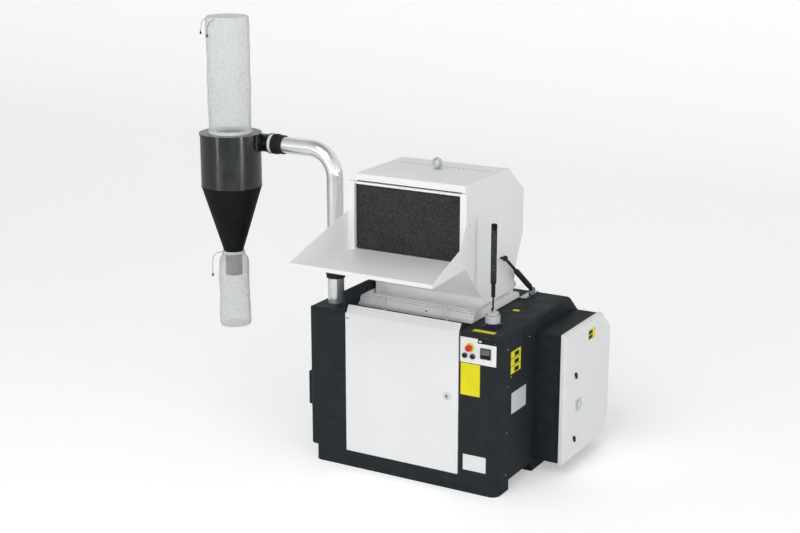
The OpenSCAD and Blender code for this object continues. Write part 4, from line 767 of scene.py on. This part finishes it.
class ControlPanel:
    """What is seen on the control plate: disc, bezels, strip and meter faces."""

    PLATE_F = -2.0
    STRIP_THICK = 0.6
    METER_F = -10.0
    METER_LINES_Z = (944.6, 941.4)

    def build(self) -> List[bpy.types.Object]:
        """Makes the panel's pieces.

        Returns:
            The new objects.
        """
        f, strip_f, meter_f = self.PLATE_F, self.PLATE_F - self.STRIP_THICK, self.METER_F
        specs = [
            RingSpec("stop_disc", "yellow_plate", (492, f, 971), 15.3, 30.0, 1.4),
            RingSpec("stop_bezel", "black_plastic", (492, f, 971), 11.4, 15.2, 1.9),
            RingSpec("start_bezel", "black_plastic", (458, f, 916), 14.3, 17.0, 5.8),
            RingSpec("halt_bezel", "black_plastic", (513, f, 916), 14.3, 17.0, 5.8),
            PlateSpec("dark_strip", "dark_glass", FRONT, (610, f, 1020), 128, 28, self.STRIP_THICK, 1.5),
            PlateSpec("meter_upper", "meter_grey", FRONT, (602, meter_f, 961), 60, 28, 0.5, 1.5),
            PlateSpec("meter_lower", "dark_glass", FRONT, (602, meter_f, 930), 60, 27, 0.5, 1.5),
            PlateSpec("strip_mark", "white_plate", FRONT, (563, strip_f, 1020), 18, 10, 0.3, 1.0),
            Fasteners("panel_screws", "bright_steel", Body.MACHINE, [
                ScrewSpec((664, strip_f, 1020), TO_FRONT, 3.0, 1.8),
                ScrewSpec((432, f, 1026), TO_FRONT, 2.6, 1.6),
                ScrewSpec((432, f, 878), TO_FRONT, 2.6, 1.6),
                ScrewSpec((667, f, 878), TO_FRONT, 2.6, 1.6)])]
        made = [spec.build() for spec in specs]
        bar = Shape()
        for z in self.METER_LINES_Z:
            bar.block(at(573, meter_f - 0.7, z - 0.4), at(631, meter_f, z + 0.4))
        made.append(bar.finish("meter_lines", "grey_plate", Body.MACHINE, smooth=False))
        return made


class BodyPlates:
    """Bare plates, screws and the door's small upstand on the base machine's covers."""

    SIDE_X, TOP_Z, REAR_F = 698, 1060, 1260
    WARNING_ROWS = (904, 853.5, 803)
    SIDE_SCREWS = ((114, 957), (424, 955), (115, 712), (116, 405), (114, 122), (167, 763))
    REAR_SCREWS = tuple((x, z) for x in (-395, 395) for z in (140, 420))
    LEFT_SCREWS = tuple((f, z) for f in (600, 900) for z in (150, 600))

    def build(self) -> List[bpy.types.Object]:
        """Makes the plates and screws.

        Returns:
            The new objects.
        """
        x, top = self.SIDE_X, self.TOP_Z
        specs = [
            PlateSpec("front_plate_yellow", "yellow_plate", FRONT, (496, 0, 760), 134, 210),
            PlateSpec("front_plate_white", "white_plate", FRONT, (531.5, 0, 206.5), 161, 105),
            PlateSpec("side_plate_grey", "grey_plate", SIDE, (x, 281, 580), 212, 140, corner=4.0),
            PlateSpec("top_plate_yellow", "yellow_plate", TOP, (551, 77, top), 152, 40),
            PlateSpec("top_plate_small", "yellow_plate", TOP, (525, 586, top), 46, 34, corner=8.0)]
        for index, z in enumerate(self.WARNING_ROWS):
            specs += [
                PlateSpec(f"side_plate_yellow_{index}", "yellow_plate", SIDE, (x, 227.5, z), 141, 46),
                PlateSpec(f"side_plate_field_{index}", "black_plastic", SIDE, (x + 0.8, 240, z - 3), 62, 28,
                          0.3, 2.0)]
        made = [spec.build() for spec in specs]
        side = [ScrewSpec((x, f, z), TO_RIGHT, 4.5, 2.4) for f, z in self.SIDE_SCREWS]
        made.append(Fasteners("side_screws", "bright_steel", Body.MACHINE, side).build())
        rear = [((across, self.REAR_F, z), (0, 1, 0)) for across, z in self.REAR_SCREWS]
        made.append(hex_heads("rear_cover_screws", "bright_steel", Body.MACHINE, rear, 6, 4))
        left = [((-x, f, z), (-1, 0, 0)) for f, z in self.LEFT_SCREWS]
        made.append(hex_heads("left_cover_screws", "bright_steel", Body.MACHINE, left, 6, 4))
        upstand = Shape().block(at(413.5, 38.5, top), at(421.5, 41.5, top + 40), 0.0006)
        made.append(upstand.finish("door_stop_upstand", "black_coat", Body.MACHINE, smooth=False))
        return made


class DoorTrim:
    """The face of the front door's lock, with a grey ring of painted shadow round its collar."""

    LOCK_X, LOCK_Z = 333, 623
    # The grey ring round the white collar is painted shadow: a darker line where the recess round the lock is
    # shaded.
    RINGS = (("lock_collar", "white_plastic", 0.0125, 0.0235, 0.0028),
             ("lock_painted_shadow_ring", "grey_plate", 0.0240, 0.0262, 0.0016))
    EDGE = 0.001

    def build(self) -> List[bpy.types.Object]:
        """Makes the pieces on the door.

        Returns:
            The new objects.
        """
        made = []
        for name, finish, inner, outer, height in self.RINGS:
            profile = [(inner, 0.0), (inner, height * 0.8), (inner + self.EDGE, height),
                       (outer - self.EDGE, height), (outer, height * 0.4), (outer, 0.0)]
            ring = Shape().turned(profile, at(self.LOCK_X, -6, self.LOCK_Z), Vector(TO_FRONT), 48)
            made.append(ring.finish(name, finish, Body.DOOR))
        keyway = PlateSpec("lock_keyway", "dark_glass", FRONT, (self.LOCK_X, -9.05, self.LOCK_Z), 2.4, 9.0,
                           0.05, 0.6, Body.DOOR_LOCK)
        made.append(keyway.build())
        return made


class CabinetTrim:
    """Plates, the isolator surround with its painted shade, and lock faces on the cabinet door."""

    DOOR_X = 908
    FIELD_X = DOOR_X + 0.8
    SURROUND_X = (908.1, 911.0)
    SURROUND_SIDES = ((717, 787, 462, 466), (717, 787, 394, 398), (717, 721, 398, 462), (783, 787, 398, 462))
    LOCKS = (("upper", 657, Body.LOCK_UPPER), ("lower", 219, Body.LOCK_LOWER))

    def build(self) -> List[bpy.types.Object]:
        """Makes the pieces on the cabinet door.

        Returns:
            The new objects.
        """
        door = Body.PANEL_DOOR
        specs = [
            PlateSpec("cabinet_plate", "yellow_plate", SIDE, (self.DOOR_X, 939.5, 864.5), 113, 71, body=door),
            PlateSpec("cabinet_field_upper", "black_plastic", SIDE, (self.FIELD_X, 920, 880), 62, 26, 0.3,
                      2.0, door),
            PlateSpec("cabinet_field_lower", "black_plastic", SIDE, (self.FIELD_X, 920, 848), 62, 24, 0.3,
                      2.0, door),
            PlateSpec("isolator_line", "black_plastic", SIDE, (931, 752, 446), 3.0, 14.0, 0.3, 1.2,
                      Body.ISOLATOR)]
        made = [spec.build() for spec in specs]
        # A raised grey frame marks the isolator's square recess; the frame stands for the recess edge and its
        # grey is painted shade.
        surround = Shape()
        back, face = self.SURROUND_X
        for front, rear, low, high in self.SURROUND_SIDES:
            surround.block(at(back, front, low), at(face, rear, high), 0.0006)
        made.append(surround.finish("isolator_surround_painted_shade", "grey_plate", door))
        for name, z, body in self.LOCKS:
            for spec in (
                    PlateSpec(f"{name}_lock_wing", "black_plastic", SIDE, (909, 695, z - 13), 19, 34, 10, 7.0,
                              body),
                    PlateSpec(f"{name}_lock_keyway", "bright_steel", SIDE, (920, 688, z), 7.0, 7.0, 0.3, 3.4,
                              body)):
                made.append(spec.build())
        return made


class HopperTrim:
    """Latch mark, side screws, flange seams and the painted shade in the roof slots of the hopper."""

    SEAMS = (("flange_seam_upper", 1138), ("flange_seam_lower", 1124))
    SLOTS, SLOT_PITCH, SLOT_HALF = 22, 30.3, 2.8
    SLOT_FRONT, SLOT_REAR = 549, 587
    # Depths below the roof top of the dark blocks that paint the shade inside the slots.
    SHADE_DEEP, SHADE_SHALLOW = 2.2, 0.9

    def build(self) -> List[bpy.types.Object]:
        """Makes the pieces on the hopper.

        Returns:
            The new objects.
        """
        body = Body.HOPPER
        specs = [
            PlateSpec("latch_mark", "black_plastic", FRONT, (77.5, 190, 1092), 15, 7, 0.6, 1.5, body),
            Fasteners("hopper_side_screws", "bright_steel", body, [
                ScrewSpec((392, f, z), TO_RIGHT, 3.0, 1.6) for f, z in ((262, 1560), (300, 1510))])]
        for name, z in self.SEAMS:
            specs += [
                PlateSpec(f"{name}_front", "meter_grey", FRONT, (0, 189.9, z), 824, 1.6, 0.3, 0.5, body),
                PlateSpec(f"{name}_side", "meter_grey", SIDE, (416.1, 610, z), 820, 1.6, 0.3, 0.5, body)]
        made = [spec.build() for spec in specs]
        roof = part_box("hopper_shell")[1][2]
        # Dark cast_black blocks just under the roof top in each slot are painted shade, standing in for the
        # dark inside of the open slots.
        shades = Shape()
        for index in range(self.SLOTS):
            x = (index - (self.SLOTS - 1) / 2) * self.SLOT_PITCH
            low = at(x - self.SLOT_HALF, self.SLOT_FRONT, 0)
            high = at(x + self.SLOT_HALF, self.SLOT_REAR, 0)
            low.z, high.z = roof - self.SHADE_DEEP * MM, roof - self.SHADE_SHALLOW * MM
            shades.block(low, high, 0.0002, 1)
        made.append(shades.finish("roof_slot_painted_shade", "cast_black", body))
        return made


class PumpTrim:
    """The ribs and the cap of the pump lever's grip, with painted highlights on the ribs."""

    AXIS_X, AXIS_F = 541.0, 212.0
    RIBS, RIB_START, RIB_PITCH = 38, 1352, 8.6
    RIB_PROFILE = ((17.0, 0.0), (19.2, 1.0), (19.2, 5.6), (17.0, 6.6), (17.0, 0.0))
    CAP_PROFILE = ((0.0, 1719.0), (11.0, 1718.4), (18.2, 1714.0), (18.8, 1706.0), (18.8, 1690.0),
                   (18.1, 1688.0), (18.1, 1716.0), (0.0, 1716.1))

    def build(self) -> List[bpy.types.Object]:
        """Makes the pieces of the lever's grip.

        Returns:
            The new objects.
        """
        base = at(self.AXIS_X, self.AXIS_F, 0)
        ribs = Shape()
        for index in range(self.RIBS):
            start = self.RIB_START + index * self.RIB_PITCH
            ribs.turned([(r * MM, (start + h) * MM) for r, h in self.RIB_PROFILE], base, WORLD_UP, 28)
        cap = Shape().turned([(r * MM, z * MM) for r, z in self.CAP_PROFILE], base, WORLD_UP)
        # The ribs' finish carries light specks that are painted highlights of the knurled grip.
        return [ribs.finish("grip_ribs", "grip_painted_highlights", Body.LEVER),
                cap.finish("grip_cap", "dark_black", Body.LEVER)]


class CycloneTrim:
    """The seam round the cyclone's barrel."""

    AXIS_X, AXIS_F = -1305, 30
    INNER, OUTER = 200.0, 201.2
    LOW, HIGH = 1793.0, 1798.0

    def build(self) -> List[bpy.types.Object]:
        """Makes the seam.

        Returns:
            The new objects.
        """
        inner, outer, low, high = self.INNER, self.OUTER, self.LOW, self.HIGH
        rim = (outer - inner) * 0.4
        profile = [(inner, low), (outer - rim, low), (outer, low + rim), (outer, high - rim),
                   (outer - rim, high), (inner, high), (inner, low)]
        base = at(self.AXIS_X, self.AXIS_F, 0)
        seam = Shape().turned([(r * MM, h * MM) for r, h in profile], base, WORLD_UP, 64)
        return [seam.finish("barrel_seam", "dark_black", Body.MACHINE)]


@dataclass(frozen=True)
class BagSpec:
    """A cloth bag round an upright axis, in metres."""

    name: str
    replaces: str
    hangs_from: str
    flat: Tuple[float, float]
    profile: Tuple[Tuple[float, float], ...]
    wave: float
    seed: float
    around: int
    rows: int
    gathers: int
    gather_at: float
    gather_depth: float


@dataclass(frozen=True)
class Bag:
    """Makes a bag as one skin of cloth with soft waves and gathers."""

    spec: BagSpec

    CENTRE = (-1.305, FRONT_Y + 0.030)
    COARSE_ROUND, COARSE_UP = 1.6, 7.0
    FINE_ROUND, FINE_UP = 5.0, 16.0
    TIED_REACH, GATHER_REACH, CROWN_RADIUS = 0.05, 0.07, 0.05
    SMALLEST = 0.0005
    CLOTH_THICK = 0.0004

    def waves_at(self, angle: float, z: float) -> float:
        """Finds how far the cloth stands out of its profile.

        Args:
            angle: Direction round the axis.
            z: Height above the floor.

        Returns:
            The distance, outwards.
        """
        spec = self.spec
        cos, sin = math.cos(angle), math.sin(angle)
        coarse = Vector((cos * self.COARSE_ROUND, sin * self.COARSE_ROUND, z * self.COARSE_UP + spec.seed))
        fine = Vector((cos * self.FINE_ROUND, sin * self.FINE_ROUND, z * self.FINE_UP + spec.seed))
        free = min(1.0, abs(z - spec.gather_at) / self.TIED_REACH)
        near = max(0.0, 1.0 - abs(z - spec.gather_at) / self.GATHER_REACH)
        puff = spec.wave * free * (noise.noise(coarse) * 1.5 + noise.noise(fine) * 0.5)
        return puff + spec.gather_depth * near * math.sin(angle * spec.gathers + noise.noise(fine) * 3.0)

    def radius_at(self, share: float) -> Tuple[float, float]:
        """Finds the radius and the height at a share of the profile's length.

        Args:
            share: From zero at the first point to one at the last.

        Returns:
            Radius and height.
        """
        points = self.spec.profile
        lengths = [math.dist(a, b) for a, b in zip(points, points[1:])]
        left = share * sum(lengths)
        for (a, b), length in zip(zip(points, points[1:]), lengths):
            if left <= length or b == points[-1]:
                mix = min(1.0, left / length)
                return a[0] + (b[0] - a[0]) * mix, a[1] + (b[1] - a[1]) * mix
            left -= length
        return points[-1]

    def build(self) -> bpy.types.Object:
        """Makes the bag.

        Returns:
            The new object.
        """
        spec = self.spec
        shape = Shape()
        rings = []
        for row in range(spec.rows + 1):
            radius, z = self.radius_at(row / spec.rows)
            share = 1.0 if radius > self.CROWN_RADIUS else radius / self.CROWN_RADIUS
            ring = []
            for step in range(spec.around):
                angle = 2 * math.pi * step / spec.around
                wide = max(radius + self.waves_at(angle, z) * share, self.SMALLEST)
                ring.append(shape.bm.verts.new((self.CENTRE[0] + wide * math.cos(angle),
                                                self.CENTRE[1] + wide * math.sin(angle), z)))
            rings.append(ring)
        shape.skin(rings)
        shape.bm.faces.new(rings[-1])
        obj = shape.finish(spec.name, "bag_cloth", Body.MACHINE)
        cloth = obj.modifiers.new("cloth", "SOLIDIFY")
        cloth.thickness, cloth.offset = self.CLOTH_THICK, 0.0
        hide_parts(spec.replaces)
        return obj


FILTER_BAG = BagSpec("filter_bag_cloth", "filter_bag", "collar_rings", (0.88, 0.82),
                     ((0.1385, 2.160), (0.140, 2.190), (0.140, 2.900), (0.136, 2.9065), (0.0008, 2.9075)),
                     wave=0.0045, seed=3.7, around=128, rows=120, gathers=30, gather_at=2.160,
                     gather_depth=0.0015)
COLLECTION_BAG = BagSpec("collection_bag_cloth", "collection_bag", "cyclone_cone", (0.64, 0.60),
                         ((0.0745, 1.349), (0.0745, 1.322), (0.094, 1.300), (0.099, 1.270), (0.104, 0.860),
                          (0.101, 0.8425), (0.0008, 0.8415)),
                         wave=0.004, seed=9.1, around=112, rows=110, gathers=22, gather_at=1.325,
                         gather_depth=0.0025)


@dataclass(frozen=True)
class TailRoute:
    """A free cord, in millimetres as width, depth and height."""

    name: str
    node: str
    points: Tuple[Point, ...]


@dataclass(frozen=True)
class CordTail:
    """Makes a cord as a round tube along a smooth line."""

    route: TailRoute

    DIAMETER = 0.0032
    SIDES = 10
    STEPS = 6

    def line(self) -> List[Vector]:
        """Smooths the route.

        Returns:
            Points in the shared frame.
        """
        pts = [at(*point) for point in self.route.points]
        ends = [pts[0]] + pts + [pts[-1]]
        line = []
        for a, b, c, d in zip(ends, ends[1:], ends[2:], ends[3:]):
            for step in range(self.STEPS):
                t = step / self.STEPS
                line.append(0.5 * ((2 * b) + (c - a) * t + (2 * a - 5 * b + 4 * c - d) * t * t
                                   + (3 * b - a - 3 * c + d) * t ** 3))
        return line + [pts[-1]]

    def build(self) -> bpy.types.Object:
        """Makes the cord.

        Returns:
            The new object.
        """
        line = self.line()
        shape = Shape()
        side = (line[1] - line[0]).orthogonal().normalized()
        turns = [2 * math.pi * k / self.SIDES for k in range(self.SIDES)]
        rings = []
        for index, point in enumerate(line):
            ahead = (line[min(index + 1, len(line) - 1)] - line[max(index - 1, 0)]).normalized()
            side = (side - ahead * side.dot(ahead)).normalized()
            other = ahead.cross(side)
            spokes = [side * math.cos(a) + other * math.sin(a) for a in turns]
            rings.append([shape.bm.verts.new(point + spoke * self.DIAMETER / 2) for spoke in spokes])
        shape.skin(rings)
        shape.bm.faces.new(rings[0])
        shape.bm.faces.new(rings[-1])
        obj = shape.finish(self.route.name, "cord_cloth", Body.MACHINE)
        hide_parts(self.route.node)
        return obj


TAILS = (
    TailRoute("upper_cord", "upper_cord_tail", (
        (-1389, -82, 2893), (-1395, -90, 2892), (-1408, -92, 2886), (-1420, -90, 2864), (-1428, -86, 2836),
        (-1434, -84, 2812))),
    TailRoute("second_cord", "second_cord_tail", (
        (-1305, -110, 2896), (-1305, -118, 2895), (-1318, -124, 2885), (-1340, -122, 2866),
        (-1354, -118, 2838), (-1358, -118, 2800))),
    TailRoute("lower_cord", "lower_cord_tail", (
        (-1365, -15, 1342), (-1373, -21, 1341), (-1396, -34, 1334), (-1418, -42, 1312), (-1426, -44, 1270),
        (-1428, -44, 1225), (-1429, -44, 1190))),
)


@dataclass(frozen=True)
class Lamp:
    """A soft lamp, in metres and watts."""

    name: str
    place: Point
    target: Point
    width: float
    height: float
    power: float


@dataclass(frozen=True)
class StudioSizes:
    """Sizes and strengths of the studio."""

    horizon: float = 1.30
    zenith: float = 0.10
    floor_colour: Colour = (0.90, 0.91, 0.91)
    floor_glow: float = 0.34
    camera_place: Point = (4.685, -8.823, 4.022)
    camera_turn: Point = (74.6, 0.0, 29.8)
    lens: float = 70.4
    sensor: float = 36.0
    floor_reach: float = 30.0
    floor_rear: float = 9.0
    bend: float = 4.0
    bend_steps: int = 16
    wall_top: float = 24.0
    lamps: Tuple[Lamp, ...] = (
        Lamp("front_left", (-3.5, -9.0, 1.6), (-0.4, -0.4, 1.2), 0.45, 2.8, 40.0),
        Lamp("right", (8.5, -3.0, 1.8), (0.3, 0.0, 1.1), 0.8, 3.4, 88.0),
        Lamp("front_high", (0.2, -5.0, 6.4), (0.0, -0.6, 1.4), 4.0, 4.0, 150.0),
    )


@dataclass(frozen=True)
class Studio:
    """Floor, backdrop, lamps, world and camera."""

    sizes: StudioSizes

    def camera(self) -> None:
        """Places the camera of the photograph."""
        data = bpy.data.cameras.new("camera")
        data.lens, data.sensor_width = self.sizes.lens, self.sizes.sensor
        obj = new_object("camera", data)
        obj.location = self.sizes.camera_place
        obj.rotation_euler = [math.radians(a) for a in self.sizes.camera_turn]
        bpy.context.scene.camera = obj

    def backdrop(self) -> None:
        """Makes a pale floor that curves up into a backdrop."""
        sizes = self.sizes
        reach, rear, bend, steps = sizes.floor_reach, sizes.floor_rear, sizes.bend, sizes.bend_steps
        turns = [math.pi / 2 * k / steps for k in range(1, steps + 1)]
        profile = [(-reach, 0.0), (rear, 0.0)]
        profile += [(rear + bend * math.sin(a), bend - bend * math.cos(a)) for a in turns]
        profile.append((rear + bend, sizes.wall_top))
        bm = bmesh.new()
        rows = [[bm.verts.new((x, y, z)) for y, z in profile] for x in (-reach, reach)]
        for k in range(len(profile) - 1):
            bm.faces.new((rows[0][k], rows[1][k], rows[1][k + 1], rows[0][k + 1]))
        bmesh.ops.recalc_face_normals(bm, faces=bm.faces)
        mesh = bpy.data.meshes.new("backdrop")
        bm.to_mesh(mesh)
        bm.free()
        mesh.polygons.foreach_set("use_smooth", [True] * len(mesh.polygons))
        obj = new_object("backdrop", mesh)
        material, graph, shader, place = new_material("backdrop")
        cloud = graph.texture("ShaderNodeTexNoise", place, Scale=0.6, Detail=2.0)
        light = sizes.floor_colour
        dark = tuple(c * 0.995 for c in light)
        graph.join(graph.blend(cloud.outputs["Fac"], light, dark), shader.inputs["Base Color"])
        shader.inputs["Roughness"].default_value = 0.9
        shader.inputs["Specular IOR Level"].default_value = 0.0
        shader.inputs["Emission Color"].default_value = (1.0, 1.0, 1.0, 1.0)
        seen = graph.add("ShaderNodeLightPath").outputs["Is Camera Ray"]
        graph.join(graph.ramp(seen, 0.0, 1.0, 0.0, sizes.floor_glow), shader.inputs["Emission Strength"])
        mesh.materials.append(material)

    def lamps(self) -> None:
        """Hangs the soft lamps."""
        for lamp in self.sizes.lamps:
            data = bpy.data.lights.new(lamp.name, "AREA")
            data.shape, data.size, data.size_y, data.energy = "RECTANGLE", lamp.width, lamp.height, lamp.power
            obj = new_object(lamp.name, data)
            obj.location = lamp.place
            way = Vector(lamp.target) - Vector(lamp.place)
            obj.rotation_euler = way.to_track_quat("-Z", "Y").to_euler()

    def world(self) -> None:
        """Lights the scene from all round, more from the sides than from above."""
        world = bpy.data.worlds.new("studio")
        world.use_nodes = True
        graph = Graph(world.node_tree)
        sky = world.node_tree.nodes["Background"]
        sky.inputs["Color"].default_value = (1.0, 1.0, 1.0, 1.0)
        parts = graph.add("ShaderNodeSeparateXYZ")
        graph.join(graph.add("ShaderNodeTexCoord").outputs["Generated"], parts.inputs["Vector"])
        strength = graph.ramp(parts.outputs["Z"], 0.0, 1.0, self.sizes.horizon, self.sizes.zenith)
        graph.join(strength, sky.inputs["Strength"])
        bpy.context.scene.world = world

    def build(self) -> None:
        """Makes the whole studio."""
        self.camera()
        self.backdrop()
        self.lamps()
        self.world()
        bpy.context.scene.view_settings.view_transform = "Standard"


def main() -> None:
    """Builds the scene."""
    logging.basicConfig(level=logging.INFO, format="%(levelname)s %(message)s")
    Studio(StudioSizes()).build()
    for route in TAILS:
        CordTail(route).build()
    for spec in (FILTER_BAG, COLLECTION_BAG):
        Bag(spec).build()
    dress_nodes()
    for group in (ControlPanel(), BodyPlates(), DoorTrim(), CabinetTrim(), HopperTrim(), PumpTrim(),
                  CycloneTrim()):
        made = group.build()
        LOG.info("%s made %d pieces", type(group).__name__, len(made))


if __name__ == "__main__":
    main()
